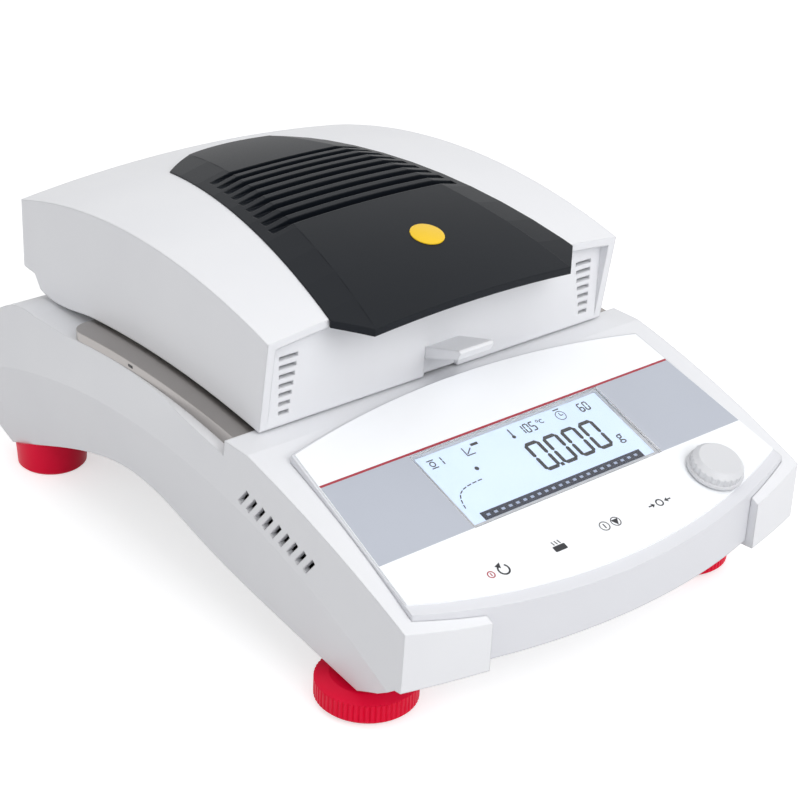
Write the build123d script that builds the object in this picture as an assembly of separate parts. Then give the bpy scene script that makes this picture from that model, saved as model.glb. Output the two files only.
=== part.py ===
"""Bench moisture analyzer: a balance base under a hinged heating lid.

All sizes are millimetres, +X to the right, +Y to the back, +Z up.
The origin is on the bench, under the middle of the outline.
"""

from build123d import *
import math
import os

# Whole object
BASE_WIDTH = 220.0
BASE_DEPTH = 318.0
REAR_Y = BASE_DEPTH / 2
FRONT_Y = -BASE_DEPTH / 2
WALL = 3.0
SEAT_GAP = 0.15
RUN_GAP = 0.3

# Housing, in side view: (y, z)
BUMPER_Y = -144.2
BUMPER_ARC_RISE = 17.0
BUMPER_INNER_X = 74.0
RIM_ARC = [(-162.0, 51.6), (-105.0, 74.0), (-47.0, 89.6)]
DECK_Z = 89.6
STEP_Y = -32.0
TRAY_SEAT_ARC = [(-32.0, 83.0), (38.0, 89.2), (90.0, 85.8)]
REAR_DECK = [(118.0, 84.6), (138.0, 82.4), (157.6, 69.1)]
REAR_WALL = [(REAR_Y, 64.0), (REAR_Y, 46.0), (156.6, 29.0), (152.4, 15.0), (144.0, 9.6)]
UNDERSIDE_FRONT = [(-111.5, 13.7), (-62.6, 20.5), (-6.6, 30.8), (23.0, 38.2)]
UNDERSIDE = UNDERSIDE_FRONT + [(46.4, 39.8), (75.0, 34.6), (144.0, 9.6)]
CHIN = [(-128.0, 23.3), (-141.0, 33.4), (-162.0, 35.0)]
CREASE = [(-134.6, 31.7), (36.0, 71.1), (142.0, 51.8)]
LEAN_FRONT = [(-165.0, 420.0), (-110.0, 225.0), (-70.0, 140.0), (-40.0, 112.0)]
LEAN = LEAN_FRONT + [(0.0, 101.0), (45.0, 97.0), (165.0, 84.0)]
TUCK = 7.0
SHOULDER_IN = 8.0
REAR_CORNER_R = 18.0

# Sloped panel
PANEL_Y = -76.6
PANEL_Z = 84.4
PANEL_SLOPE = math.degrees(math.atan(0.331))
INSERT_FRONT_HALF = 102.8
INSERT_FRONT_Y = -140.5
INSERT_REAR_HALF = 95.6
INSERT_REAR_Y = -58.0
INSERT_REAR_BULGE = 10.6
INSERT_DEPTH = 7.0
INSERT_WALL = 2.6
INSERT_SKIRT_Z = 36.6
LEDGE = 4.0
LEDGE_THICK = 3.0
OVERLAY_INSET = 1.1
OVERLAY_FRONT_INSET = 4.3
OVERLAY_THICK = 0.7
DISPLAY_HALF = 52.0
DISPLAY_TOP = 0.5
DISPLAY_HEIGHT = 42.5
DISPLAY_GLASS = 2.0
LEVEL_X = 74.9
LEVEL_S = 22.4
LEVEL_DIA = 15.0
KNOB_X = 65.8
KNOB_S = 61.4
KNOB_DIA = 24.5
KNOB_BODY_DIA = 22.5
KNOB_TOP_DIA = 18.2
KNOB_HEIGHT = 6.4
KNOB_FLUTES = 24
FLUTE_R = 0.9
FLUTE_OUT = 0.55
SHAFT_DIA = 6.0
SHAFT_TOP = 5.0
SHAFT_LONG = 14.0
PUSH_TRAVEL = 0.6
KEY_S = 64.0
KEY_XS = [-58.0, -27.4, 1.0, 29.3]

# Side vents
VENT_COUNT = 9
VENT_FIRST = (-46.5, 71.0)
VENT_LAST = (-88.5, 60.5)
VENT_LONG = 8.4
VENT_WIDE = 2.2
VENT_TILT = 38.0
VENT_CUT = 24.0

# Heat shield tray and drying chamber
CHAMBER_Y = 34.0
TRAY_HALF = 104.0
TRAY_REAR_Y = 90.0
TRAY_TOP_ARC = [(-31.4, 89.3), (38.0, 93.2), (90.0, 90.2)]
TRAY_CORNER_R = 10.0
SHEET = 1.2
WELL_DIA = 118.0
WELL_FLOOR_Z = 73.0
STEM_DIA = 6.0
STEM_CLEAR = 1.0
RING_DIA = 112.0
RING_HEIGHT = 13.0
PAN_DIA = 90.0
PAN_DEPTH = 7.0
PAN_Z = 85.4
PAN_SHEET = 0.6
CELL_TOP_Z = 65.0
CELL_LENGTH = 74.0
CELL_WIDTH = 22.0
CELL_HEIGHT = 15.0
PAN_SINK_GAP = 0.8

# Inner pieces of the base
COVER_HALF = 99.0
COVER_Y = (-110.5, 140.0)
COVER_THICK = 2.5
BUSH_DIA = 12.0
POST_DIA = 7.0
POST_IN = 8.0
BOARD_THICK = 1.6
BOARD_Z = 33.0
BOARD_HALF = 80.0
BOARD_Y = (-118.0, -58.0)
BOARD_POST_Y = (-98.0, -66.0)
SUPPLY_Z = 44.0
SUPPLY_X = (-90.0, -20.0)
SUPPLY_Y = (106.0, 146.0)
SUPPLY_POST_Y = (114.0, 136.0)
INLET_X = 52.0
INLET_Z = 54.0
INLET_WIDE = 28.0
INLET_HIGH = 21.0
PORT_X = 8.0
PORT_WIDE = 26.0
PORT_HIGH = 12.0
PORT_RECESS = 3.4

# Lid
LID_FRONT_HALF = 95.0
LID_REAR_HALF = 90.0
LID_FRONT_TOP_Y = -42.4
LID_REAR_LOW = (153.0, 94.8)
LID_REAR_TOP_Y = 150.2
LID_TOP_ARC = [(-42.4, 137.5), (50.0, 149.1), (150.2, 132.3)]
LID_CROWN_R = 680.0
LID_EDGE_ARC = [(-36.3, 90.6), (34.0, 94.7), (92.0, 91.2)]
LID_HEEL = [(108.0, 88.2), (126.0, 86.8), (134.6, 88.2), (139.3, 94.2)]
LID_WALL = 3.0
LID_CORNER_R = 6.0
LID_REAR_TOP_Z = 129.0
LID_CEILING = 180.0
LID_ROOM_DROP = 60.0
VISOR = 4.0
LID_FACE_Y = -36.5
LID_VENT_COUNT = 7
LID_VENT_TOP_Z = 121.2
LID_VENT_PITCH = 4.0
LID_VENT_HIGH = 1.8
LID_VENT_OUT_X = 85.6
LID_VENT_IN_X = (76.4, 80.6)
HANDLE_HALF = 9.4
HANDLE_TIP_Y = -58.0
HANDLE_TIP_Z = 110.7
HANDLE_TIP_THICK = 4.4
HANDLE_ROOT_Z = 99.0
HANDLE_ROOT_THICK = 5.6
NOTCH_TOP_Z = 100.6

# Vent hood
HOOD_FRONT_HALF = 66.1
HOOD_FRONT_Y = -43.5
NOSE_HALF = 53.5
NOSE_Y = -55.7
HOOD_REAR_HALF = 39.5
HOOD_REAR_Y = 105.5
HOOD_REAR_BULGE = 13.2
HOOD_TOP_ARC = [(-55.7, 134.2), (50.0, 152.6), (118.7, 144.2)]
HOOD_BEVEL = 15.0
HOOD_EDGE = 0.6
BEVEL_STEPS = 12
BEVEL_RUN = 200.0
HOOD_SEAT = 6.0
NOSE_DROP = 2.6
OPENING_IN = 8.0
RIB_COUNT = 8
RIB_FIRST_Y = 20.0
RIB_PITCH = 6.9
GROOVE_WIDTH = 4.0
RIB_END = 5.0
GROOVE_DEPTH = 2.6
SLIT_WIDTH = 1.8

# Lid inside
HEATER_PLATE_Z = 99.0
HEATER_PLATE_THICK = 2.0
HEATER_PLATE_Y = (-33.2, 112.0)
GLASS_DIA = 104.0
GLASS_THICK = 2.5
RETAINER_DIA = 114.0
RETAINER_LIP = 4.0
REFLECTOR_RISE = 20.0
LAMP_DIA = 9.0
LAMP_LENGTH = 70.0

# Hinge
HINGE_Y = 142.0
HINGE_Z = 88.5
HINGE_X = 60.0
KNUCKLE_R = 4.2
KNUCKLE_LONG = 16.0
CHEEK = 4.0
PIN_DIA = 4.0
PIN_FIT = 0.05
ARM_TOP_Z = 112.0
ARM_LOW_Z = 97.0
ARM_REAR_Y = 152.0

# Feet
WHEEL_X = 90.0
WHEEL_Y = -102.0
WHEEL_DIA = 42.0
WHEEL_BAND = 8.5
WHEEL_LOW_Z = 1.5
WHEEL_SHOULDER_DIA = 30.0
WHEEL_TOP_Z = 13.0
WHEEL_TEETH = 60
TOOTH_WIDE = 1.2
TOOTH_OUT = 0.25
STUD_DIA = 8.0
STUD_TOP_Z = 34.0
PAD_DIA = 30.0
PAD_PIN = 5.0
REAR_FOOT_X = 88.0
REAR_FOOT_Y = 134.0
REAR_FOOT_DIA = 36.0
REAR_FOOT_LOW_DIA = 32.0

PANEL = Plane(
    origin=(0, PANEL_Y, PANEL_Z),
    x_dir=(1, 0, 0),
    z_dir=(0, -math.sin(math.radians(PANEL_SLOPE)), math.cos(math.radians(PANEL_SLOPE))),
)
HUGE = 400.0


def arc_z(arc, y):
    """Height at y of the circle through three (y, z) points."""
    (y1, z1), (y2, z2), (y3, z3) = arc
    d = 2 * (y1 * (z2 - z3) + y2 * (z3 - z1) + y3 * (z1 - z2))
    s1, s2, s3 = y1 * y1 + z1 * z1, y2 * y2 + z2 * z2, y3 * y3 + z3 * z3
    cy = (s1 * (z2 - z3) + s2 * (z3 - z1) + s3 * (z1 - z2)) / d
    cz = (s1 * (y3 - y2) + s2 * (y1 - y3) + s3 * (y2 - y1)) / d
    r = math.hypot(y1 - cy, z1 - cz)
    return cz + math.copysign(math.sqrt(r * r - (y - cy) ** 2), z2 - cz)


def shifted(points, dy=0.0, dz=0.0):
    """Outline points moved by (dy, dz)."""
    return [(y + dy, z + dz) for y, z in points]


def slab(sketch, half_width):
    """A side-view face pushed out to both sides of the middle plane."""
    return extrude(Plane.YZ * sketch, amount=half_width, both=True)


def upright(sketch, low, high):
    """A plan-view face raised from one height to another."""
    return extrude(Plane.XY.offset(low) * sketch, amount=high - low)


def block(x0, x1, y0, y1, z0, z1):
    """A box given by its limits."""
    return Pos((x0 + x1) / 2, (y0 + y1) / 2, (z0 + z1) / 2) * Box(x1 - x0, y1 - y0, z1 - z0)


def post(x, y, z0, z1, dia):
    """An upright cylinder between two heights."""
    return Pos(x, y, (z0 + z1) / 2) * Cylinder(dia / 2, z1 - z0)


def tube(x, y, z0, z1, dia, bore):
    """An upright cylinder with a bore."""
    return post(x, y, z0, z1, dia) - post(x, y, z0 - 1, z1 + 1, bore)


def both_sides(solid):
    """A piece and its mirror image."""
    return solid + mirror(solid, about=Plane.YZ)


def single(shape):
    """The one solid that a boolean left, without its wrapper."""
    return max(shape.solids(), key=lambda piece: piece.volume)


def arc_between(arc, y0, y1):
    """Side-view arc on the circle of three points, from y0 to y1."""
    middle = (y0 + y1) / 2
    return ThreePointArc((y0, arc_z(arc, y0)), (middle, arc_z(arc, middle)), (y1, arc_z(arc, y1)))


def closed(curve, z):
    """Side-view face between a curve and a level line."""
    start, end = curve @ 0, curve @ 1
    return make_face(curve + Polyline(end, (end.X, z), (start.X, z), start))


def underside_curve(lift=0.0):
    """Side-view curve of the arched underside, run on past both ends."""
    front, rear = UNDERSIDE[0], UNDERSIDE[-1]
    run_on = [(front[0] - 50.0, front[1] - 6.0)] + UNDERSIDE + [(rear[0] + 20.0, rear[1] - 6.0)]
    return Spline(*shifted(run_on, dz=lift))


def above_underside(lift):
    """Everything above the arched underside raised by lift."""
    return slab(closed(underside_curve(lift), HUGE), HUGE)


def above_panel(drop):
    """Everything above the panel plane lowered by drop."""
    return PANEL * Pos(0, 0, HUGE / 2 - drop) * Box(2 * HUGE, 2 * HUGE, HUGE)


def on_panel(x, s, h=0.0):
    """Location on the panel: x across, s down the slope from the red line, h above it."""
    return PANEL * Pos(x, -s, h)


def housing_side(inset):
    """Side-view face of the housing above its underside, drawn in by inset."""
    rim = shifted(RIM_ARC, dz=-inset)
    step = STEP_Y - inset
    seat = shifted(TRAY_SEAT_ARC, dz=-inset)
    deck = shifted(REAR_DECK[:2], dz=-inset) + shifted(REAR_DECK[2:], dy=-inset, dz=-inset / 2)
    rear = shifted(REAR_WALL[:-1], dy=-inset)
    outline = [
        ThreePointArc(*rim),
        Polyline(rim[-1], (step, DECK_Z - inset), (step, seat[0][1])),
        ThreePointArc((step, seat[0][1]), *seat[1:]),
        Line(seat[-1], deck[0]),
        ThreePointArc(*deck),
        Polyline(deck[-1], *rear, REAR_WALL[-1], (REAR_WALL[-1][0], 0), (rim[0][0], 0), rim[0]),
    ]
    return make_face(outline)


def housing_plan(inset, front):
    """Plan-view face of the housing, drawn in by inset, its front by a length of its own."""
    half = BASE_WIDTH / 2 - inset
    corner = BUMPER_Y + front
    back = REAR_Y - inset
    outline = [
        ThreePointArc((-half, corner), (0, corner - BUMPER_ARC_RISE), (half, corner)),
        Polyline((half, corner), (half, back), (-half, back), (-half, corner)),
    ]
    plan = make_face(outline)
    return fillet(plan.vertices().sort_by(Axis.Y)[-2:], REAR_CORNER_R - inset)


def flank(x_outer, outer_curve, x_inner, inner_curve, z):
    """What a ruled flank cuts away between two side-view curves, on both sides."""
    outer = Plane.YZ.offset(x_outer) * closed(outer_curve, z)
    inner = Plane.YZ.offset(x_inner) * closed(inner_curve, z)
    return both_sides(loft([outer, inner], ruled=True))


def housing_form(inset=0.0, front=0.0):
    """Outer form of the housing, or the room inside it when drawn in by a wall."""
    half = BASE_WIDTH / 2 - inset
    form = slab(housing_side(inset), half) & upright(housing_plan(inset, front), 0, HUGE / 2)
    crease = arc_between(CREASE, -165.0, 168.0)
    form -= flank(half, crease, half - TUCK, underside_curve(inset), -HUGE)
    form -= flank(half, crease, half - SHOULDER_IN, Spline(*LEAN), HUGE + 100.0)
    chin = [UNDERSIDE[0]] + CHIN
    corners = [(CHIN[-1][0], 0), (UNDERSIDE[0][0], 0)]
    chin_cut = make_face(Polyline(*shifted(chin, dz=inset), *corners, close=True))
    return (form & above_underside(inset)) - slab(chin_cut, HUGE)


def panel_plan(grow, front=0.0):
    """Plan-view face of the panel block, grown all round, its front drawn back by a length."""
    half_f, half_r = INSERT_FRONT_HALF + grow, INSERT_REAR_HALF + grow
    y_f, y_r = INSERT_FRONT_Y - grow + front * 0.75, INSERT_REAR_Y + grow
    apex_f, apex_r = FRONT_Y - grow + front, INSERT_REAR_Y + INSERT_REAR_BULGE + grow
    outline = [
        ThreePointArc((-half_f, y_f), (0, apex_f), (half_f, y_f)),
        Line((half_f, y_f), (half_r, y_r)),
        ThreePointArc((half_r, y_r), (0, apex_r), (-half_r, y_r)),
        Line((-half_r, y_r), (-half_f, y_f)),
    ]
    return make_face(outline)


def side_vents():
    """Slanted louvre slots through both upper flanks."""
    slots = []
    for i in range(VENT_COUNT):
        t = i / (VENT_COUNT - 1)
        y = VENT_FIRST[0] + t * (VENT_LAST[0] - VENT_FIRST[0])
        z = VENT_FIRST[1] + t * (VENT_LAST[1] - VENT_FIRST[1])
        place = Plane.YZ * Pos(y, z, BASE_WIDTH / 2) * Rot(0, 0, VENT_TILT)
        slots.append(place * Box(VENT_WIDE, VENT_LONG, VENT_CUT))
    return both_sides(Compound(children=slots))


def rear_window(x, z, width, height):
    """A square opening through the rear wall."""
    return block(x - width / 2, x + width / 2, REAR_Y - 12, REAR_Y + 5, z - height / 2, z + height / 2)


def base_housing():
    """Moulded white housing with its front bumpers, panel pocket, deck and openings."""
    floor = INSERT_DEPTH + LEDGE_THICK
    body = housing_form() - (housing_form(WALL, 4 * WALL) - above_panel(floor))
    body -= block(-COVER_HALF, COVER_HALF, *COVER_Y, 0, 60) - above_underside(WALL + 1)
    body -= upright(panel_plan(SEAT_GAP), 0, HUGE) & above_panel(INSERT_DEPTH)
    body -= upright(panel_plan(-LEDGE), 0, HUGE) & above_panel(floor + 1)
    body -= block(-BUMPER_INNER_X, BUMPER_INNER_X, -HUGE, BUMPER_Y + 6, INSERT_SKIRT_Z - SEAT_GAP, HUGE)
    body -= block(-BUMPER_INNER_X, BUMPER_INNER_X, -HUGE, BUMPER_Y - 3, 0, HUGE)
    body -= post(0, CHAMBER_Y, 60, HUGE, WELL_DIA + 6)
    body -= side_vents()
    body -= rear_window(INLET_X, INLET_Z, INLET_WIDE, INLET_HIGH)
    body -= rear_window(PORT_X, INLET_Z, PORT_WIDE, PORT_HIGH)
    return single(body)


def bottom_cover():
    """Arched cover under the housing, with the posts that carry the inner pieces."""
    half = COVER_HALF - SEAT_GAP
    plate = block(-half, half, COVER_Y[0] + SEAT_GAP, COVER_Y[1] - SEAT_GAP, 0, 60)
    plate = (plate & above_underside(0)) - above_underside(COVER_THICK)
    board_xs = (-BOARD_HALF + POST_IN, BOARD_HALF - POST_IN)
    supply_xs = (SUPPLY_X[0] + POST_IN, SUPPLY_X[1] - POST_IN)
    posts = [post(x, y, 5, BOARD_Z, POST_DIA) for x in board_xs for y in BOARD_POST_Y]
    posts += [post(x, y, 5, SUPPLY_Z, POST_DIA) for x in supply_xs for y in SUPPLY_POST_Y]
    for p in posts:
        plate += p & above_underside(COVER_THICK / 2)
    for x in (-WHEEL_X, WHEEL_X):
        plate += post(x, WHEEL_Y, 5, STUD_TOP_Z + 2, BUSH_DIA + 3) & above_underside(0)
        plate -= post(x, WHEEL_Y, 0, STUD_TOP_Z + 4, BUSH_DIA)
    return single(plate)


def foot_bush(x):
    """Brass bush that takes a levelling screw."""
    bush = tube(x, WHEEL_Y, 0, STUD_TOP_Z + 2, BUSH_DIA, STUD_DIA + 2 * PIN_FIT)
    return single(bush & above_underside(0))


def panel_insert():
    """Raised panel moulding with its bulging front skirt between the bumpers."""
    top = above_panel(0)
    plan = upright(panel_plan(0), 0, HUGE)
    skirt_half = BUMPER_INNER_X - SEAT_GAP
    skirt = block(-skirt_half, skirt_half, -HUGE, BUMPER_Y + 4, INSERT_SKIRT_Z, HUGE)
    shape = (plan & above_panel(INSERT_DEPTH)) + (plan & skirt)
    shape -= top
    shape -= upright(panel_plan(-INSERT_WALL), 0, HUGE) - above_panel(INSERT_WALL)
    mid = DISPLAY_TOP + DISPLAY_HEIGHT / 2
    wide, high = 2 * (DISPLAY_HALF + SEAT_GAP), DISPLAY_HEIGHT + 2 * SEAT_GAP
    shape -= on_panel(0, mid) * Box(wide, high, 2 * (DISPLAY_GLASS - OVERLAY_THICK))
    shape -= on_panel(0, mid) * Box(wide - 4, high - 4, 20)
    shape -= on_panel(LEVEL_X, LEVEL_S) * Cylinder(LEVEL_DIA / 2 + SEAT_GAP, 20)
    shape -= on_panel(KNOB_X, KNOB_S) * Cylinder(SHAFT_DIA / 2 + RUN_GAP, 20)
    return single(shape)


def panel_overlay():
    """Thin printed film on the panel, open over the display, the level and the knob."""
    plan = upright(panel_plan(-OVERLAY_INSET, OVERLAY_FRONT_INSET), 0, HUGE)
    film = (plan & above_panel(0)) - above_panel(-OVERLAY_THICK)
    mid = DISPLAY_TOP + DISPLAY_HEIGHT / 2
    film -= on_panel(0, mid) * Box(2 * (DISPLAY_HALF + SEAT_GAP), DISPLAY_HEIGHT + 2 * SEAT_GAP, 20)
    film -= on_panel(LEVEL_X, LEVEL_S) * Cylinder(LEVEL_DIA / 2 + SEAT_GAP, 20)
    film -= on_panel(KNOB_X, KNOB_S) * Cylinder(SHAFT_DIA / 2 + RUN_GAP, 20)
    return single(film)


def display_window():
    """Clear window over the display."""
    low = OVERLAY_THICK - DISPLAY_GLASS
    mid = DISPLAY_TOP + DISPLAY_HEIGHT / 2
    return on_panel(0, mid, low + DISPLAY_GLASS / 2) * Box(2 * DISPLAY_HALF, DISPLAY_HEIGHT, DISPLAY_GLASS)


def display_module():
    """Backlit display under the panel."""
    mid = DISPLAY_TOP + DISPLAY_HEIGHT / 2
    case = on_panel(0, mid, -INSERT_WALL - 4) * Box(2 * DISPLAY_HALF + 6, DISPLAY_HEIGHT + 4, 8)
    glass = on_panel(0, mid, -INSERT_WALL + 0.2) * Box(2 * DISPLAY_HALF - 5, DISPLAY_HEIGHT - 5, 0.6)
    return single(case + glass)


def key_board():
    """Touch board pressed to the panel's back, with one pad for each key."""
    x0, x1 = KEY_XS[0] - 9, KEY_XS[-1] + 9
    low = INSERT_WALL + BOARD_THICK
    board = on_panel((x0 + x1) / 2, KEY_S, -low + BOARD_THICK / 2) * Box(x1 - x0, 13, BOARD_THICK)
    for x in KEY_XS:
        board += on_panel(x, KEY_S, -low - 0.4) * Cylinder(4.5, 1)
    return single(board)


def level_vial():
    """Round spirit level body set in the panel."""
    cup = on_panel(LEVEL_X, LEVEL_S, -4) * Cylinder(LEVEL_DIA / 2, 8)
    return single(cup - on_panel(LEVEL_X, LEVEL_S, -2) * Cylinder(LEVEL_DIA / 2 - 1.2, 8))


def level_window():
    """Clear domed glass of the spirit level."""
    dome = on_panel(LEVEL_X, LEVEL_S, 0.3) * Cylinder(LEVEL_DIA / 2, 0.6)
    return single(dome + on_panel(LEVEL_X, LEVEL_S, -1) * Cylinder(LEVEL_DIA / 2 - 1.4, 2))


def encoder_body():
    """Rotary encoder under the panel."""
    body = on_panel(KNOB_X, KNOB_S, -INSERT_WALL - 4) * Box(13, 13, 8)
    return single(body - on_panel(KNOB_X, KNOB_S) * Cylinder(SHAFT_DIA / 2 + PIN_FIT, 40))


def encoder_shaft():
    """Shaft that the knob turns on and pushes down."""
    return on_panel(KNOB_X, KNOB_S, SHAFT_TOP - SHAFT_LONG / 2) * Cylinder(SHAFT_DIA / 2, SHAFT_LONG)


def control_knob():
    """Turn-and-press knob with a scalloped side and a bevelled top."""
    low = OVERLAY_THICK + PUSH_TRAVEL + RUN_GAP
    flange, shoulder = low + 1.2, low + KNOB_HEIGHT - 2.2
    r1, r2, r3 = KNOB_DIA / 2, KNOB_BODY_DIA / 2, KNOB_TOP_DIA / 2
    top = low + KNOB_HEIGHT
    half = [(0, low), (r1, low), (r1, flange), (r2, flange), (r2, shoulder), (r3, top), (0, top)]
    knob = revolve(Plane.XZ * make_face(Polyline(*half, close=True)), Axis.Z)
    flute = Pos(r2 + FLUTE_OUT, 0, (flange + top) / 2) * Cylinder(FLUTE_R, top - flange)
    knob -= Compound(children=[Rot(0, 0, i * 360 / KNOB_FLUTES) * flute for i in range(KNOB_FLUTES)])
    knob -= Cylinder(SHAFT_DIA / 2 + PIN_FIT, 2 * (SHAFT_TOP + PIN_FIT))
    return single(on_panel(KNOB_X, KNOB_S) * knob)


def main_board():
    """Main circuit board with its connectors, on posts over the bottom cover."""
    board = block(-BOARD_HALF, BOARD_HALF, BOARD_Y[0], BOARD_Y[1], BOARD_Z, BOARD_Z + BOARD_THICK)
    top = BOARD_Z + BOARD_THICK
    for x in (-60, -34, -8, 18, 44):
        board += block(x, x + 14, BOARD_Y[0] + 6, BOARD_Y[0] + 16, top, top + 6)
    board += block(-12, 12, BOARD_Y[1] - 34, BOARD_Y[1] - 10, top, top + 2)
    return single(board)


def power_supply():
    """Supply board with its transformer and capacitor, beside the rear wall."""
    (x0, x1), (y0, y1) = SUPPLY_X, SUPPLY_Y
    top = SUPPLY_Z + BOARD_THICK
    board = block(x0, x1, y0, y1, SUPPLY_Z, top)
    board += block(x0 + 6, x0 + 34, y0 + 8, y1 - 8, top, top + 22)
    board += post(x1 - 14, (y0 + y1) / 2, top, top + 20, 16)
    return single(board)


def mains_inlet():
    """Recessed mains inlet with three pins."""
    front = REAR_Y - 0.2
    x, z = INLET_X, INLET_Z
    wide, high = INLET_WIDE / 2 - SEAT_GAP, INLET_HIGH / 2 - SEAT_GAP
    body = block(x - wide, x + wide, front - 24, front, z - high, z + high)
    body += block(x - wide - 2, x + wide + 2, front - 8, REAR_Y - WALL - 1, z - high - 2, z + high + 2)
    body -= block(x - wide + 2, x + wide - 2, front - 17, front + 1, z - high + 2, z + high - 2)
    for dx, dz in ((-7, 2), (0, -2), (7, 2)):
        body += block(x + dx - 1, x + dx + 1, front - 18, front - 3, z + dz - 2, z + dz + 2)
    return single(body)


def data_port():
    """Serial data socket beside the mains inlet."""
    front = REAR_Y - 0.2
    wide, high = PORT_WIDE / 2 - SEAT_GAP, PORT_HIGH / 2 - SEAT_GAP
    body = block(PORT_X - wide, PORT_X + wide, front - 12, front, INLET_Z - high, INLET_Z + high)
    flange = block(-wide - 2, wide + 2, front - 8, REAR_Y - WALL - 1, -high - 2, high + 2)
    body += Pos(PORT_X, 0, INLET_Z) * flange
    body -= block(PORT_X - 9, PORT_X + 9, front - PORT_RECESS, front + 1, INLET_Z - 4, INLET_Z + 4)
    return single(body)


def tray_plan(inset):
    """Plan-view face of the tray with rounded rear corners."""
    half, y0, y1 = TRAY_HALF - inset, TRAY_TOP_ARC[0][0] + inset, TRAY_REAR_Y - inset
    plan = make_face(Polyline((-half, y0), (half, y0), (half, y1), (-half, y1), close=True))
    return fillet(plan.vertices().sort_by(Axis.Y)[-2:], TRAY_CORNER_R - inset)


def heat_shield_tray():
    """Pressed steel tray round the chamber, with its sunk well."""
    over_seat = slab(closed(arc_between(TRAY_SEAT_ARC, -60, 120), HUGE), HUGE)
    over_top = slab(closed(arc_between(TRAY_TOP_ARC, -60, 120), HUGE), HUGE)
    tray = (upright(tray_plan(0), 0, HUGE) & over_seat) - over_top
    tray -= upright(tray_plan(SHEET), 0, HUGE) - Pos(0, 0, -SHEET) * over_top
    tray += post(0, CHAMBER_Y, WELL_FLOOR_Z, HUGE, WELL_DIA) - over_top
    tray -= post(0, CHAMBER_Y, WELL_FLOOR_Z + SHEET, HUGE, WELL_DIA - 2 * SHEET)
    tray -= post(0, CHAMBER_Y, 0, HUGE, STEM_DIA + 2 * STEM_CLEAR)
    return single(tray)


def drip_tray():
    """Loose steel dish on the well's floor."""
    low = WELL_FLOOR_Z + SHEET
    dish = tube(0, CHAMBER_Y, low, low + 4, RING_DIA, STEM_DIA + 2 * STEM_CLEAR + 2)
    return single(dish - post(0, CHAMBER_Y, low + 0.8, low + 5, RING_DIA - 1.6))


def draft_shield_ring():
    """Steel ring that keeps draughts off the sample."""
    low = WELL_FLOOR_Z + SHEET + 0.8
    ring = tube(0, CHAMBER_Y, low, low + RING_HEIGHT, RING_DIA - 2, RING_DIA - 4)
    lip = tube(0, CHAMBER_Y, low + RING_HEIGHT - 1, low + RING_HEIGHT, RING_DIA - 2, RING_DIA - 10)
    return single(ring + lip)


def pan_support():
    """Stem and three-armed star that carry the pan on the weighing cell."""
    low = CELL_TOP_Z + PAN_SINK_GAP
    star = post(0, CHAMBER_Y, low, PAN_Z - 4, STEM_DIA) + post(0, CHAMBER_Y, PAN_Z - 6, PAN_Z - 3, 14)
    for i in range(3):
        turn = Pos(0, CHAMBER_Y, 0) * Rot(0, 0, 90 + 120 * i)
        star += turn * block(0, 38, -2.5, 2.5, PAN_Z - 5, PAN_Z - 3)
        star += turn * block(33, 38, -2.5, 2.5, PAN_Z - 5, PAN_Z)
    return single(star)


def sample_pan():
    """Disposable aluminium pan."""
    pan = post(0, CHAMBER_Y, PAN_Z, PAN_Z + PAN_DEPTH, PAN_DIA - 3)
    pan += post(0, CHAMBER_Y, PAN_Z + PAN_DEPTH - 1, PAN_Z + PAN_DEPTH, PAN_DIA)
    bore = PAN_DIA - 3 - 2 * PAN_SHEET
    return single(pan - post(0, CHAMBER_Y, PAN_Z + PAN_SHEET, PAN_Z + PAN_DEPTH + 1, bore))


def weighing_cell():
    """Aluminium load cell, bored through for its bending beams."""
    y0 = CHAMBER_Y - 9
    z0, z1 = CELL_TOP_Z - CELL_HEIGHT, CELL_TOP_Z
    half, mid = CELL_WIDTH / 2, (z0 + z1) / 2
    cell = block(-half, half, y0, y0 + CELL_LENGTH, z0, z1)
    for y in (y0 + 26, y0 + 40):
        cell -= Pos(0, y, mid) * Rot(0, 90, 0) * Cylinder(5.6, CELL_WIDTH + 2)
    cell -= block(-half - 1, half + 1, y0 + 26, y0 + 40, mid - 2, mid + 2)
    return single(cell)


def cell_bracket():
    """Cast block that carries the weighing cell on the bottom cover."""
    y1 = CHAMBER_Y - 9 + CELL_LENGTH
    foot = block(-CELL_WIDTH / 2 - 6, CELL_WIDTH / 2 + 6, y1 - 20, y1 + 6, 0, CELL_TOP_Z - CELL_HEIGHT)
    return single(foot & above_underside(COVER_THICK))


def lid_half(y):
    """Half width of the lid at y."""
    along = (y - LID_FRONT_TOP_Y) / (LID_REAR_LOW[0] - LID_FRONT_TOP_Y)
    return LID_FRONT_HALF + (LID_REAR_HALF - LID_FRONT_HALF) * along


def turned(sketch):
    """A side-view face turned to both sides about the far axis of the lid's crown."""
    axis = Axis((0, 0, LID_TOP_ARC[1][1] - LID_CROWN_R), (0, 1, 0))
    return revolve((Plane.YZ * sketch).rotate(axis, -10), axis, 20)


def crown(arc, lift=0.0):
    """Block under the lid's crowned top, which is a side-view arc turned about a far axis."""
    return turned(closed(arc_between(shifted(arc, dz=lift), -75.0, 175.0), 40.0))


def lid_plan(inset):
    """Plan-view face of the lid, a little narrower behind."""
    y0, y1 = LID_FRONT_TOP_Y - 2 + inset, LID_REAR_LOW[0] - inset
    f, r = lid_half(y0) - inset, lid_half(y1) - inset
    plan = make_face(Polyline((-f, y0), (f, y0), (r, y1), (-r, y1), close=True))
    return fillet(plan.vertices().sort_by(Axis.Y)[-2:], LID_CORNER_R - inset)


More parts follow.
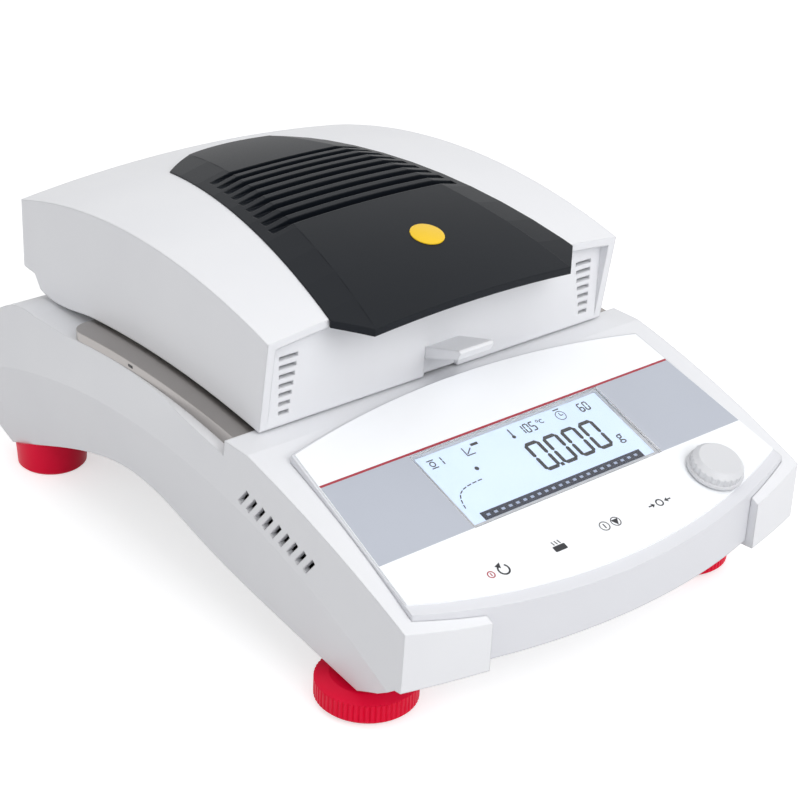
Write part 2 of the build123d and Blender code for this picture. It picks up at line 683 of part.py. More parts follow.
def lid_side(inset):
    """Side-view face of the lid between its front edge, its lower edge and its rear wall."""
    drop = -LID_ROOM_DROP if inset else 0.0
    low = shifted(LID_EDGE_ARC, dz=drop)
    heel = shifted(LID_HEEL, dz=drop)
    front_y = LID_FACE_Y if inset else LID_FRONT_TOP_Y
    front_low = (low[0][0] + inset, low[0][1])
    front_top = (front_y + inset, arc_z(LID_TOP_ARC, LID_FRONT_TOP_Y))
    rear_low = (LID_REAR_LOW[0] - inset, heel[-1][1] + 0.6)
    rear_top = (LID_REAR_TOP_Y - inset, LID_REAR_TOP_Z)
    ceiling = [(rear_top[0] - 4, LID_CEILING), (front_top[0], LID_CEILING)]
    outline = [
        ThreePointArc(front_low, *low[1:]),
        Spline(low[-1], *heel[:3]),
        Polyline(heel[2], heel[3], rear_low, rear_top, *ceiling, front_top, front_low),
    ]
    return make_face(outline)


def lid_form(inset=0.0):
    """Outer form of the lid, or the room inside it when drawn in by a wall."""
    plan = upright(lid_plan(inset), 0, HUGE)
    return crown(LID_TOP_ARC, -inset) & plan & slab(lid_side(inset), HUGE)


def hood_edge_x(y):
    """Half width of the hood at y."""
    along = (y - HOOD_FRONT_Y) / (HOOD_REAR_Y - HOOD_FRONT_Y)
    return HOOD_FRONT_HALF + (HOOD_REAR_HALF - HOOD_FRONT_HALF) * along


def hood_plan(grow):
    """Plan-view face of the hood: nose, tapered sides and curved rear."""
    nose, front, rear = NOSE_HALF + grow / 2, HOOD_FRONT_HALF + grow, HOOD_REAR_HALF + grow
    y0, y1, y2 = NOSE_Y - grow, HOOD_FRONT_Y - grow / 2, HOOD_REAR_Y + grow
    outline = [
        Polyline((rear, y2), (front, y1), (nose, y0), (-nose, y0), (-front, y1), (-rear, y2)),
        ThreePointArc((-rear, y2), (0, y2 + HOOD_REAR_BULGE), (rear, y2)),
    ]
    return make_face(outline)


def lid_cover():
    """Moulded lid shell with visor, side wings, vents and the seat of the hood."""
    lid = lid_form()
    visor_half = LID_FRONT_HALF - VISOR
    lid -= block(-visor_half, visor_half, -HUGE, LID_FACE_Y, 0, HUGE) & crown(LID_TOP_ARC, -VISOR)
    lid -= lid_form(LID_WALL)
    behind = block(-HUGE, HUGE, LID_FACE_Y + OPENING_IN, HUGE, 0, HUGE)
    lid -= upright(hood_plan(-HOOD_SEAT), 115, HUGE) & behind
    for i in range(LID_VENT_COUNT):
        z = LID_VENT_TOP_Z - i * LID_VENT_PITCH
        t = i / (LID_VENT_COUNT - 1)
        x0 = LID_VENT_IN_X[0] + t * (LID_VENT_IN_X[1] - LID_VENT_IN_X[0])
        y0, y1 = LID_FACE_Y - 1, LID_FACE_Y + LID_WALL + 1
        lid -= both_sides(block(x0, LID_VENT_OUT_X, y0, y1, z - LID_VENT_HIGH, z))
    half = HANDLE_HALF
    lid -= block(-half, half, LID_FACE_Y - 2, LID_FACE_Y + LID_WALL + 1, 80, NOTCH_TOP_Z)
    return single(lid)


def lid_handle():
    """Finger tab with the backing plate of the notch under it."""
    root, tip, half = LID_FACE_Y, HANDLE_TIP_Y, HANDLE_HALF - SEAT_GAP
    tip_low = HANDLE_TIP_Z - HANDLE_TIP_THICK
    lower = [(root, HANDLE_ROOT_Z), (tip + 1.6, tip_low)]
    upper = [(tip, HANDLE_TIP_Z - 1.0), (tip + 1.2, HANDLE_TIP_Z), (root, HANDLE_ROOT_Z + HANDLE_ROOT_THICK)]
    tab = slab(make_face(Polyline(*lower, *upper, close=True)), half)
    low, high = arc_z(LID_EDGE_ARC, root) + 0.6, NOTCH_TOP_Z - SEAT_GAP
    neck = block(-half, half, root, root + LID_WALL, HANDLE_ROOT_Z, high)
    plate = block(-half, half, root + LID_WALL - 1.2, root + LID_WALL, low, high)
    return single(tab + neck + plate)


def hood_bevel(side):
    """What the sloping bevel on one side of the hood cuts away."""
    turn = math.atan2(HOOD_FRONT_HALF - HOOD_REAR_HALF, HOOD_REAR_Y - HOOD_FRONT_Y)
    centre = LID_TOP_ARC[1][1] - LID_CROWN_R
    faces = []
    for inset, arc, lift in ((0.0, LID_TOP_ARC, HOOD_EDGE), (HOOD_BEVEL / math.cos(turn), HOOD_TOP_ARC, 0.0)):
        points = []
        for i in range(BEVEL_STEPS + 1):
            y = NOSE_Y - 16 + i * BEVEL_RUN / BEVEL_STEPS
            x = hood_edge_x(y) - inset
            points.append((side * x, y, centre + math.sqrt((arc_z(arc, y) - centre) ** 2 - x * x) + lift))
        ceiling = [(side_x, y, HUGE) for side_x, y, _ in (points[-1], points[0])]
        faces.append(make_face(Polyline(*points, *ceiling, close=True)))
    return loft(faces, ruled=True)


def vent_hood():
    """Black ribbed vent hood with sloping sides and a nose over the lid's front edge."""
    front = block(-HUGE, HUGE, -HUGE, LID_FRONT_TOP_Y - SEAT_GAP, 0, HUGE)
    behind = block(-HUGE, HUGE, LID_FACE_Y + OPENING_IN + SEAT_GAP, HUGE, 0, HUGE)
    plug = upright(hood_plan(-HOOD_SEAT - SEAT_GAP), 0, HUGE) & behind
    lid_below = crown(LID_TOP_ARC) - plug - front
    hood = (crown(HOOD_TOP_ARC) & upright(hood_plan(0), 100, HUGE)) - lid_below
    hood -= crown(LID_TOP_ARC, -NOSE_DROP)
    for side in (1, -1):
        hood -= hood_bevel(side)
    for i in range(RIB_COUNT + 1):
        y = RIB_FIRST_Y + (i - 0.5) * RIB_PITCH
        half = hood_edge_x(y) - RIB_END
        floor = arc_z(HOOD_TOP_ARC, y) - GROOVE_DEPTH
        groove = turned(Pos(y, floor + 10) * Rectangle(GROOVE_WIDTH, 20))
        hood -= groove & block(-half, half, y - GROOVE_WIDTH, y + GROOVE_WIDTH, 100, 200)
        inner = half - HOOD_BEVEL
        hood -= block(-inner, inner, y - SLIT_WIDTH / 2, y + SLIT_WIDTH / 2, 100, 200)
    return single(hood)


def heater_plate():
    """Plate across the lid's inside that carries the glass, the reflector and the lamp."""
    y0, y1 = HEATER_PLATE_Y
    low, high = HEATER_PLATE_Z, HEATER_PLATE_Z + HEATER_PLATE_THICK
    plate = lid_form(LID_WALL + SEAT_GAP) & block(-HUGE, HUGE, y0, y1, low, high)
    return single(plate - post(0, CHAMBER_Y, 0, HUGE, GLASS_DIA - 2 * RETAINER_LIP))


def protective_glass():
    """Round glass between the lamp and the sample."""
    return post(0, CHAMBER_Y, HEATER_PLATE_Z - GLASS_THICK, HEATER_PLATE_Z, GLASS_DIA)


def glass_retainer():
    """Steel ring that holds the glass under the plate."""
    low = HEATER_PLATE_Z - GLASS_THICK - 1
    ring = tube(0, CHAMBER_Y, low, HEATER_PLATE_Z, RETAINER_DIA, GLASS_DIA + 2 * SEAT_GAP)
    return single(ring + tube(0, CHAMBER_Y, low, low + 1, RETAINER_DIA, GLASS_DIA - 2 * RETAINER_LIP))


def reflector():
    """Spun reflector over the lamp."""
    low = HEATER_PLATE_Z + HEATER_PLATE_THICK
    r, rise, t = GLASS_DIA / 2 + 2, REFLECTOR_RISE, 0.8
    rim, crown_r, top = r + 6, r - 8, low + rise
    outer = [(0, low), (rim, low), (rim, low + t), (r, low + t), (crown_r, top), (0, top)]
    inner = [(0, low - 1), (r - t, low - 1), (r - t, low), (crown_r - t, top - t), (0, top - t)]
    dish = revolve(Plane.XZ * make_face(Polyline(*outer, close=True)), Axis.Z)
    dish -= revolve(Plane.XZ * make_face(Polyline(*inner, close=True)), Axis.Z)
    return single(Pos(0, CHAMBER_Y, 0) * dish)


def halogen_lamp():
    """Halogen tube across the reflector."""
    z = HEATER_PLATE_Z + HEATER_PLATE_THICK + REFLECTOR_RISE / 2
    tube_part = Pos(0, CHAMBER_Y, z) * Rot(0, 90, 0) * Cylinder(LAMP_DIA / 2, LAMP_LENGTH)
    caps = Pos(0, CHAMBER_Y, z) * Rot(0, 90, 0) * Cylinder(LAMP_DIA / 2 - 1.5, LAMP_LENGTH + 10)
    return single(tube_part + caps)


def lamp_holders():
    """Two ceramic holders that hang from the reflector and take the lamp's ends."""
    low = HEATER_PLATE_Z + HEATER_PLATE_THICK
    z, top = low + REFLECTOR_RISE / 2, low + REFLECTOR_RISE - 0.8
    x = LAMP_LENGTH / 2 + 0.2
    holder = block(x, x + 8, CHAMBER_Y - 6, CHAMBER_Y + 6, z - 5, top)
    holder -= Pos(x, CHAMBER_Y, z) * Rot(0, 90, 0) * Cylinder(LAMP_DIA / 2 - 1.5 + PIN_FIT, 2 * 6)
    return both_sides(holder)


def temperature_sensor():
    """Probe that hangs from the reflector beside the lamp."""
    top = HEATER_PLATE_Z + HEATER_PLATE_THICK + REFLECTOR_RISE - 0.8
    return single(post(16, CHAMBER_Y - 20, top - 14, top, 4) + post(16, CHAMBER_Y - 20, top - 3, top, 8))


def hinge_arm(x):
    """Lid arm with its knuckle, fixed to the lid's rear wall."""
    half = KNUCKLE_LONG / 2
    knuckle = Pos(x, HINGE_Y, HINGE_Z) * Rot(0, 90, 0) * Cylinder(KNUCKLE_R, KNUCKLE_LONG)
    front = HINGE_Y - KNUCKLE_R
    front_side = [(front, HINGE_Z), (front, ARM_TOP_Z)]
    rear_side = [(ARM_REAR_Y, ARM_TOP_Z), (ARM_REAR_Y, ARM_LOW_Z), (HINGE_Y + 3.6, HINGE_Z + 2)]
    plate = Pos(x, 0, 0) * slab(make_face(Polyline(*front_side, *rear_side, close=True)), half)
    room = lid_form(LID_WALL) + block(-HUGE, HUGE, 100, LID_REAR_TOP_Y - LID_WALL, 60, 100)
    arm = knuckle + (plate & room)
    return single(arm - Pos(x, HINGE_Y, HINGE_Z) * Rot(0, 90, 0) * Cylinder(PIN_DIA / 2 + PIN_FIT, 40))


def hinge_bracket(x):
    """Fork on the rear deck that holds a hinge pin."""
    half = KNUCKLE_LONG / 2 + RUN_GAP
    outer = half + CHEEK
    saddle_top = HINGE_Z - KNUCKLE_R - 0.5
    fork = block(x - outer, x + outer, HINGE_Y - 6, HINGE_Y + 4, 74, HINGE_Z)
    fork += Pos(x, HINGE_Y, HINGE_Z) * Rot(0, 90, 0) * Cylinder(KNUCKLE_R, 2 * outer)
    fork -= block(x - half, x + half, HINGE_Y - 20, HINGE_Y + 20, saddle_top, 120)
    fork -= housing_form()
    return single(fork - Pos(x, HINGE_Y, HINGE_Z) * Rot(0, 90, 0) * Cylinder(PIN_DIA / 2, 60))


def hinge_pins():
    """The two steel hinge pins."""
    length = KNUCKLE_LONG + 2 * (RUN_GAP + CHEEK)
    pin = Pos(HINGE_X, HINGE_Y, HINGE_Z) * Rot(0, 90, 0) * Cylinder(PIN_DIA / 2, length)
    return both_sides(pin)


def foot_wheel(x):
    """Knurled levelling wheel with its screw."""
    band_top = WHEEL_LOW_Z + WHEEL_BAND
    r = WHEEL_DIA / 2
    shoulder_r, stud_r, shoulder_z = WHEEL_SHOULDER_DIA / 2, STUD_DIA / 2, WHEEL_TOP_Z - 1
    band = [(0, WHEEL_LOW_Z), (r - 1, WHEEL_LOW_Z), (r, WHEEL_LOW_Z + 1), (r, band_top)]
    stud = [(shoulder_r, shoulder_z), (stud_r, shoulder_z), (stud_r, STUD_TOP_Z), (0, STUD_TOP_Z)]
    wheel = revolve(Plane.XZ * make_face(Polyline(*band, *stud, close=True)), Axis.Z)
    place = Pos(r + TOOTH_OUT, 0, WHEEL_LOW_Z + WHEEL_BAND / 2 + 0.5) * Rot(0, 0, 45)
    notch = place * Box(TOOTH_WIDE, TOOTH_WIDE, WHEEL_BAND + 1)
    wheel -= Compound(children=[Rot(0, 0, i * 360 / WHEEL_TEETH) * notch for i in range(WHEEL_TEETH)])
    wheel -= Cylinder((PAD_PIN + 2 * PIN_FIT) / 2, 2 * (WHEEL_LOW_Z + 6))
    return single(Pos(x, WHEEL_Y, 0) * wheel)


def foot_pad(x):
    """Rubber pad that the levelling wheel turns on."""
    pad = post(x, WHEEL_Y, 0, WHEEL_LOW_Z - RUN_GAP, PAD_DIA)
    return single(pad + post(x, WHEEL_Y, 0, WHEEL_LOW_Z + 5.5, PAD_PIN))


def rear_foot(x):
    """Fixed rear foot, seated on the arched underside."""
    low_r, high_r, top = REAR_FOOT_LOW_DIA / 2, REAR_FOOT_DIA / 2, 30.0
    half = [(0, 0), (low_r - 1, 0), (low_r, 1), (high_r, top), (0, top)]
    foot = Pos(x, REAR_FOOT_Y, 0) * revolve(Plane.XZ * make_face(Polyline(*half, close=True)), Axis.Z)
    return single(foot - above_underside(0))


NODES = {
    "base_housing": base_housing,
    "bottom_cover": bottom_cover,
    "panel_insert": panel_insert,
    "panel_overlay": panel_overlay,
    "display_window": display_window,
    "display_module": display_module,
    "key_board": key_board,
    "level_vial": level_vial,
    "level_window": level_window,
    "encoder_body": encoder_body,
    "encoder_shaft": encoder_shaft,
    "control_knob": control_knob,
    "main_board": main_board,
    "power_supply": power_supply,
    "mains_inlet": mains_inlet,
    "data_port": data_port,
    "heat_shield_tray": heat_shield_tray,
    "drip_tray": drip_tray,
    "draft_shield_ring": draft_shield_ring,
    "pan_support": pan_support,
    "sample_pan": sample_pan,
    "weighing_cell": weighing_cell,
    "cell_bracket": cell_bracket,
    "lid_cover": lid_cover,
    "lid_handle": lid_handle,
    "vent_hood": vent_hood,
    "heater_plate": heater_plate,
    "protective_glass": protective_glass,
    "glass_retainer": glass_retainer,
    "reflector": reflector,
    "halogen_lamp": halogen_lamp,
    "lamp_holders": lamp_holders,
    "temperature_sensor": temperature_sensor,
    "hinge_pins": hinge_pins,
    "hinge_arm_left": lambda: hinge_arm(-HINGE_X),
    "hinge_arm_right": lambda: hinge_arm(HINGE_X),
    "hinge_bracket_left": lambda: hinge_bracket(-HINGE_X),
    "hinge_bracket_right": lambda: hinge_bracket(HINGE_X),
    "foot_bush_left": lambda: foot_bush(-WHEEL_X),
    "foot_bush_right": lambda: foot_bush(WHEEL_X),
    "foot_wheel_left": lambda: foot_wheel(-WHEEL_X),
    "foot_wheel_right": lambda: foot_wheel(WHEEL_X),
    "foot_pad_left": lambda: foot_pad(-WHEEL_X),
    "foot_pad_right": lambda: foot_pad(WHEEL_X),
    "rear_foot_left": lambda: rear_foot(-REAR_FOOT_X),
    "rear_foot_right": lambda: rear_foot(REAR_FOOT_X),
}


def main():
    """Build every sub-part and write it as a STEP file."""
    os.makedirs("parts", exist_ok=True)
    for name, make in NODES.items():
        piece = make()
        piece.label = name
        export_step(piece, f"parts/{name}.step")


if __name__ == "__main__":
    main()
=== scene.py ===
"""Studio scene of a bench moisture analyzer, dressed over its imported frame."""

import logging
import math
from dataclasses import dataclass
from enum import Enum
from typing import Any

import bmesh
import bpy
from mathutils import Matrix, Vector


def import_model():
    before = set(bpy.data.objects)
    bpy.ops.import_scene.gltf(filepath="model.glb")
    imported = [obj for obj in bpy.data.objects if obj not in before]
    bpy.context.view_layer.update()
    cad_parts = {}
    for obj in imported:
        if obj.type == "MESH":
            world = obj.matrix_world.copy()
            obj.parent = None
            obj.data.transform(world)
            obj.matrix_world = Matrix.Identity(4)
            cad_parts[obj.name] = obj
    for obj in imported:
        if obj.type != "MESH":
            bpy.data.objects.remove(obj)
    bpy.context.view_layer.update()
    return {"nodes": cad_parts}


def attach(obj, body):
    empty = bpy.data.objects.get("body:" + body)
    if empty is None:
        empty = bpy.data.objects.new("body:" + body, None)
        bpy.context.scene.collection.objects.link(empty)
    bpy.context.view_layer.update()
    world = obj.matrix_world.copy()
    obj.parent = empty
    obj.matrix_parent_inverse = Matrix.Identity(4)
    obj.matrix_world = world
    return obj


LOG = logging.getLogger("moisture_analyzer")
MM = 0.001
Point2 = tuple[float, float]
Point3 = tuple[float, float, float]

# The sloped panel: the red line's place on it, and its slope
PANEL_ORIGIN = (0.0, -76.6, 84.4)
PANEL_SLOPE = 0.331
PANEL_ANGLE = math.atan(PANEL_SLOPE)
PANEL = Matrix.Translation(PANEL_ORIGIN) @ Matrix.Rotation(PANEL_ANGLE, 4, "X")
FILM_TOP = 0.7

# Heights of two circuit boards' upper faces, and one above the whole part
MAIN_BOARD_TOP = 34.6
SUPPLY_BOARD_TOP = 45.6
ABOVE_ALL = 300.0

# Faces that meet at less than this angle, in degrees, are shaded as one
SMOOTH_ANGLE = 35
ROUND_STEPS = 32
EDGE_SAMPLES = 6
LEAST_ROUGHNESS = 0.02
WHITE = (1, 1, 1, 1)


def linear(hex_code: str) -> tuple[float, float, float, float]:
    """Turn an sRGB hex colour into the linear colour that a shader takes.

    Args:
        hex_code: The colour as "#RRGGBB".

    Returns:
        Linear red, green, blue and an alpha of 1.
    """
    channels = []
    for start in (1, 3, 5):
        value = int(hex_code[start:start + 2], 16) / 255.0
        channels.append(value / 12.92 if value <= 0.04045 else ((value + 0.055) / 1.055) ** 2.4)
    return (channels[0], channels[1], channels[2], 1.0)


def add_node(
    tree: bpy.types.NodeTree, kind: str, inputs: dict[Any, Any] | None = None, **settings: Any
) -> bpy.types.Node:
    """Add a node with its settings and its inputs.

    Args:
        tree: The node tree.
        kind: The node's type without the leading "ShaderNode".
        inputs: Input names or numbers, each with a value or with an output socket to link.
        **settings: Properties of the node itself.

    Returns:
        The new node.
    """
    node = tree.nodes.new("ShaderNode" + kind)
    for name, value in settings.items():
        setattr(node, name, value)
    for key, value in (inputs or {}).items():
        if isinstance(value, bpy.types.NodeSocket):
            tree.links.new(value, node.inputs[key])
        else:
            node.inputs[key].default_value = value
    return node


def blend(
    tree: bpy.types.NodeTree, factor: bpy.types.NodeSocket, first: Any, second: Any
) -> bpy.types.NodeSocket:
    """Mix two colours.

    Args:
        tree: The node tree.
        factor: How much of the second colour shows.
        first: A linear colour, or a colour socket.
        second: A linear colour, or a colour socket.

    Returns:
        The mixed colour's socket.
    """
    return add_node(tree, "Mix", {0: factor, 6: first, 7: second}, data_type="RGBA").outputs[2]


def fresh_tree(owner: bpy.types.Material | bpy.types.World) -> bpy.types.NodeTree:
    """Give a material or world an empty node tree.

    Args:
        owner: The material or world.

    Returns:
        Its node tree.
    """
    owner.use_nodes = True
    owner.node_tree.nodes.clear()
    return owner.node_tree


def soften(mesh: bmesh.types.BMesh, edges: list[bmesh.types.BMEdge], offset: float, segments: int) -> None:
    """Round or chamfer edges.

    Args:
        mesh: The mesh that holds them.
        edges: The edges.
        offset: Size of the rounding.
        segments: 1 for a chamfer, and more for a rounding.
    """
    bmesh.ops.bevel(
        mesh, geom=edges, offset=offset, affect="EDGES", segments=segments, profile=0.5, material=-1
    )


def add_box(mesh: bmesh.types.BMesh, place: Matrix, size: Point3) -> None:
    """Add a box.

    Args:
        mesh: The mesh to add it to.
        place: The box's middle and turn.
        size: Its width, depth and height.
    """
    bmesh.ops.create_cube(mesh, size=1.0, matrix=place @ Matrix.Diagonal((*size, 1)))


class Side(Enum):
    """The two sides of the analyzer, seen from the front."""

    LEFT = -1
    RIGHT = 1


@dataclass(frozen=True)
class Finish:
    """A surface as the eye meets it: colour, sheen and fine relief.

    Sizes are in millimetres and colours are sRGB hex values.
    """

    name: str
    colour: str
    shade: str
    roughness: float
    patch: float = 40.0
    sheen_spread: float = 0.05
    grain: float = 0.5
    relief: float = 0.02
    stretch: Point3 = (1.0, 1.0, 1.0)
    metallic: float = 0.0
    ior: float = 1.5
    edge: float = 0.0
    transmission: float = 0.0
    coat: float = 0.0
    glow: float = 0.0

    def colours(self, tree: bpy.types.NodeTree, coords: bpy.types.NodeSocket) -> bpy.types.NodeSocket:
        """Mottle the colour with its shade over patches of the finish's own size.

        Args:
            tree: The material's node tree.
            coords: Object coordinates.

        Returns:
            The colour socket.
        """
        cloud = add_node(tree, "TexNoise", {"Vector": coords, "Scale": 1 / (self.patch * MM), "Detail": 3.0})
        return blend(tree, cloud.outputs["Fac"], linear(self.colour), linear(self.shade))

    def build(self) -> bpy.types.Material:
        """Make the material.

        Returns:
            A node material named for the finish.
        """
        material = bpy.data.materials.new(self.name)
        tree = fresh_tree(material)
        coords = add_node(tree, "TexCoord").outputs["Object"]
        run = add_node(tree, "Mapping", {"Vector": coords, "Scale": self.stretch}).outputs[0]
        pores = add_node(tree, "TexNoise", {"Vector": run, "Scale": 1 / (self.grain * MM), "Detail": 2.0})
        fine = pores.outputs["Fac"]
        low = max(self.roughness - self.sheen_spread, LEAST_ROUGHNESS)
        high = self.roughness + self.sheen_spread
        rough = add_node(tree, "MapRange", {"Value": fine, "To Min": low, "To Max": high})
        bump = add_node(tree, "Bump", {"Height": fine, "Distance": self.relief * MM, "Strength": 1.0})
        if self.edge:
            rounding = add_node(tree, "Bevel", {"Radius": self.edge * MM}, samples=EDGE_SAMPLES)
            tree.links.new(rounding.outputs[0], bump.inputs["Normal"])
        surface = add_node(tree, "BsdfPrincipled", {
            "Base Color": self.colours(tree, coords),
            "Metallic": self.metallic,
            "Roughness": rough.outputs[0],
            "IOR": self.ior,
            "Normal": bump.outputs[0],
            "Transmission Weight": self.transmission,
            "Coat Weight": self.coat,
            "Emission Color": linear(self.colour),
            "Emission Strength": self.glow,
        })
        add_node(tree, "OutputMaterial", {"Surface": surface.outputs[0]})
        return material


@dataclass(frozen=True)
class BoardFinish(Finish):
    """A circuit board: solder mask below a height, and darker parts above it."""

    board_top: float = 0.0
    parts: str = "#1B1C1F"
    tracks: str = "#7C8A4A"
    track_pitch: float = 6.0
    track_wide: float = 0.04
    solder_height: float = 0.2

    def colours(self, tree: bpy.types.NodeTree, coords: bpy.types.NodeSocket) -> bpy.types.NodeSocket:
        """Colour the mask with its copper tracks, and the parts that stand on it.

        Args:
            tree: The material's node tree.
            coords: Object coordinates.

        Returns:
            The colour socket.
        """
        bricks = add_node(tree, "TexBrick", {
            "Vector": coords,
            "Color1": linear(self.colour),
            "Color2": linear(self.shade),
            "Mortar": linear(self.tracks),
            "Scale": 1 / (self.track_pitch * MM),
            "Mortar Size": self.track_wide,
        })
        height = add_node(tree, "SeparateXYZ", {0: coords}).outputs["Z"]
        parts_from = (self.board_top + self.solder_height) * MM
        above = add_node(tree, "Math", {0: height, 1: parts_from}, operation="GREATER_THAN")
        return blend(tree, above.outputs[0], bricks.outputs["Color"], linear(self.parts))


# Injection-moulded ABS with a spark-eroded skin: a soft even grey-white
ABS = Finish("moulded_abs_white", "#E6E7EA", "#E0E1E5", 0.46, grain=0.45, relief=0.012, edge=0.9, ior=1.53)
LID_ABS = Finish("moulded_abs_lid", "#E9EAED", "#E3E4E8", 0.42, grain=0.45, relief=0.01, edge=1.1, ior=1.53)
INSERT_ABS = Finish(
    "moulded_abs_panel", "#DBDCE1", "#D6D7DC", 0.44, grain=0.45, relief=0.012, edge=0.8, ior=1.53
)
KNOB_ABS = Finish("moulded_abs_knob", "#D6D7DA", "#CFD0D4", 0.4, grain=0.35, relief=0.01, edge=0.5, ior=1.53)
COVER_ABS = Finish(
    "moulded_abs_underside", "#C9CACE", "#BFC0C5", 0.55, grain=0.8, relief=0.03, edge=0.5, ior=1.53
)
# Screen-printed polyester: nearly white, smoother than the moulding round it
FILM = Finish("printed_polyester_film", "#F6F8FB", "#F2F4F8", 0.34, grain=0.25, relief=0.003, ior=1.6)
GREY_INK = Finish("screen_print_grey", "#B6BBC6", "#B1B6C1", 0.36, grain=0.25, relief=0.003)
RED_INK = Finish("screen_print_red", "#A8303F", "#9E2B3A", 0.36, grain=0.25, relief=0.003)
BLACK_INK = Finish("screen_print_black", "#23242A", "#1D1E23", 0.38, grain=0.25, relief=0.003)
# Glass-filled polyamide: charcoal with a low cool sheen
HOOD_PA = Finish(
    "moulded_polyamide_charcoal", "#0C1016", "#10151C", 0.44, grain=0.5, relief=0.014, edge=0.8, ior=1.28
)
BLACK_PA = Finish("moulded_polyamide_black", "#1B1C20", "#222327", 0.42, grain=0.5, relief=0.012)
RED_PA = Finish(
    "moulded_polyamide_red", "#F0003A", "#E80036", 0.42, grain=0.4, relief=0.012, edge=0.4, ior=1.3
)
RUBBER = Finish("moulded_rubber_black", "#202024", "#2A2A2E", 0.78, grain=0.6, relief=0.04)
YELLOW_PC = Finish(
    "inlaid_polycarbonate_yellow", "#F2C80C", "#EBC00A", 0.34, grain=0.3, relief=0.004, edge=0.2
)
# Cold-rolled stainless, brushed left to right: warm grey with drawn-out highlights
BRUSHED = Finish(
    "brushed_stainless_steel", "#AFABA9", "#A39F9C", 0.34,
    grain=0.35, relief=0.006, stretch=(0.02, 1.0, 1.0), metallic=1.0, edge=0.5,
)
SPUN = Finish(
    "spun_stainless_steel", "#BDBBB8", "#B2B0AE", 0.28,
    grain=0.35, relief=0.004, stretch=(1.0, 1.0, 0.05), metallic=1.0, edge=0.3,
)
POLISHED = Finish("polished_aluminium", "#DADBDC", "#D2D3D5", 0.12, grain=0.6, relief=0.003, metallic=1.0)
FOIL = Finish("pressed_aluminium_foil", "#CFD0D1", "#C4C5C7", 0.3, grain=1.2, relief=0.04, metallic=1.0)
MACHINED = Finish(
    "machined_aluminium", "#B9BBBE", "#AEB0B4", 0.36,
    grain=0.3, relief=0.008, stretch=(1.0, 0.05, 1.0), metallic=1.0,
)
CAST = Finish("sand_cast_aluminium", "#A3A5A8", "#96989B", 0.55, grain=1.0, relief=0.08, metallic=1.0)
BRASS = Finish(
    "turned_brass", "#B59A52", "#A88D47", 0.3,
    grain=0.3, relief=0.006, stretch=(1.0, 1.0, 0.1), metallic=1.0,
)
NICKEL = Finish("nickel_plated_steel", "#B8B5AE", "#ADAAA4", 0.25, grain=0.4, relief=0.003, metallic=1.0)
TUNGSTEN = Finish("drawn_tungsten", "#6E6C69", "#5F5D5A", 0.35, grain=0.3, relief=0.003, metallic=1.0)
CERAMIC = Finish("fired_steatite", "#E3DFD4", "#D9D4C7", 0.62, grain=0.5, relief=0.03, edge=0.3)
# Display stack: acrylic over a backlit field with dark crystal segments
ACRYLIC = Finish(
    "cast_acrylic", "#FFFFFF", "#FCFDFE", 0.06, sheen_spread=0.01, relief=0.0, transmission=1.0, ior=1.33
)
QUARTZ = Finish(
    "fused_quartz", "#FBFCFD", "#F7F9FA", 0.05,
    sheen_spread=0.01, relief=0.001, transmission=1.0, ior=1.46,
)
VIAL_GLASS = Finish(
    "tinted_acrylic", "#C4C7CC", "#BEC1C7", 0.06,
    sheen_spread=0.01, relief=0.0005, transmission=1.0, ior=1.49,
)
VIAL = Finish("moulded_polystyrene_grey", "#5B5E66", "#53565E", 0.25, grain=0.5, relief=0.006, coat=0.5)
BUBBLE = Finish("air_bubble", "#C9CCD2", "#D5D8DD", 0.12, relief=0.001)
BACKLIGHT = Finish("backlit_crystal_field", "#CDDDEF", "#C5D8EE", 0.4, relief=0.001, glow=0.34)
SEGMENT = Finish("crystal_segment_dark", "#14161C", "#101218", 0.35, relief=0.001)
BAR_FIELD = Finish("crystal_field_navy", "#101B38", "#0E1832", 0.35, relief=0.001)
BAR_LIGHT = Finish("crystal_block_pale", "#A3B0C8", "#9DABC5", 0.35, relief=0.001, glow=0.15)
MODULE = Finish("display_bezel_grey", "#4B4E55", "#44474E", 0.5, grain=0.5, relief=0.01)
# Boards: green mask. The keys' board is all mask, as nothing in the part reaches its height for parts
MAIN_BOARD = BoardFinish(
    "solder_mask_main_board", "#1F5A38", "#24633F", 0.35, relief=0.01, board_top=MAIN_BOARD_TOP
)
SUPPLY_BOARD = BoardFinish(
    "solder_mask_supply_board", "#1F5A38", "#24633F", 0.35,
    relief=0.01, board_top=SUPPLY_BOARD_TOP, parts="#2A2B30",
)
KEY_BOARD = BoardFinish("solder_mask_key_board", "#1F5A38", "#24633F", 0.35, relief=0.01, board_top=ABOVE_ALL)


class Wardrobe:
    """Makes each finish once and hands it out."""

    def __init__(self) -> None:
        """Start with no materials made."""
        self.made: dict[str, bpy.types.Material] = {}

    def get(self, finish: Finish) -> bpy.types.Material:
        """Give the material of a finish, made on first use.

        Args:
            finish: The finish wanted.

        Returns:
            Its material.
        """
        if finish.name not in self.made:
            self.made[finish.name] = finish.build()
        return self.made[finish.name]


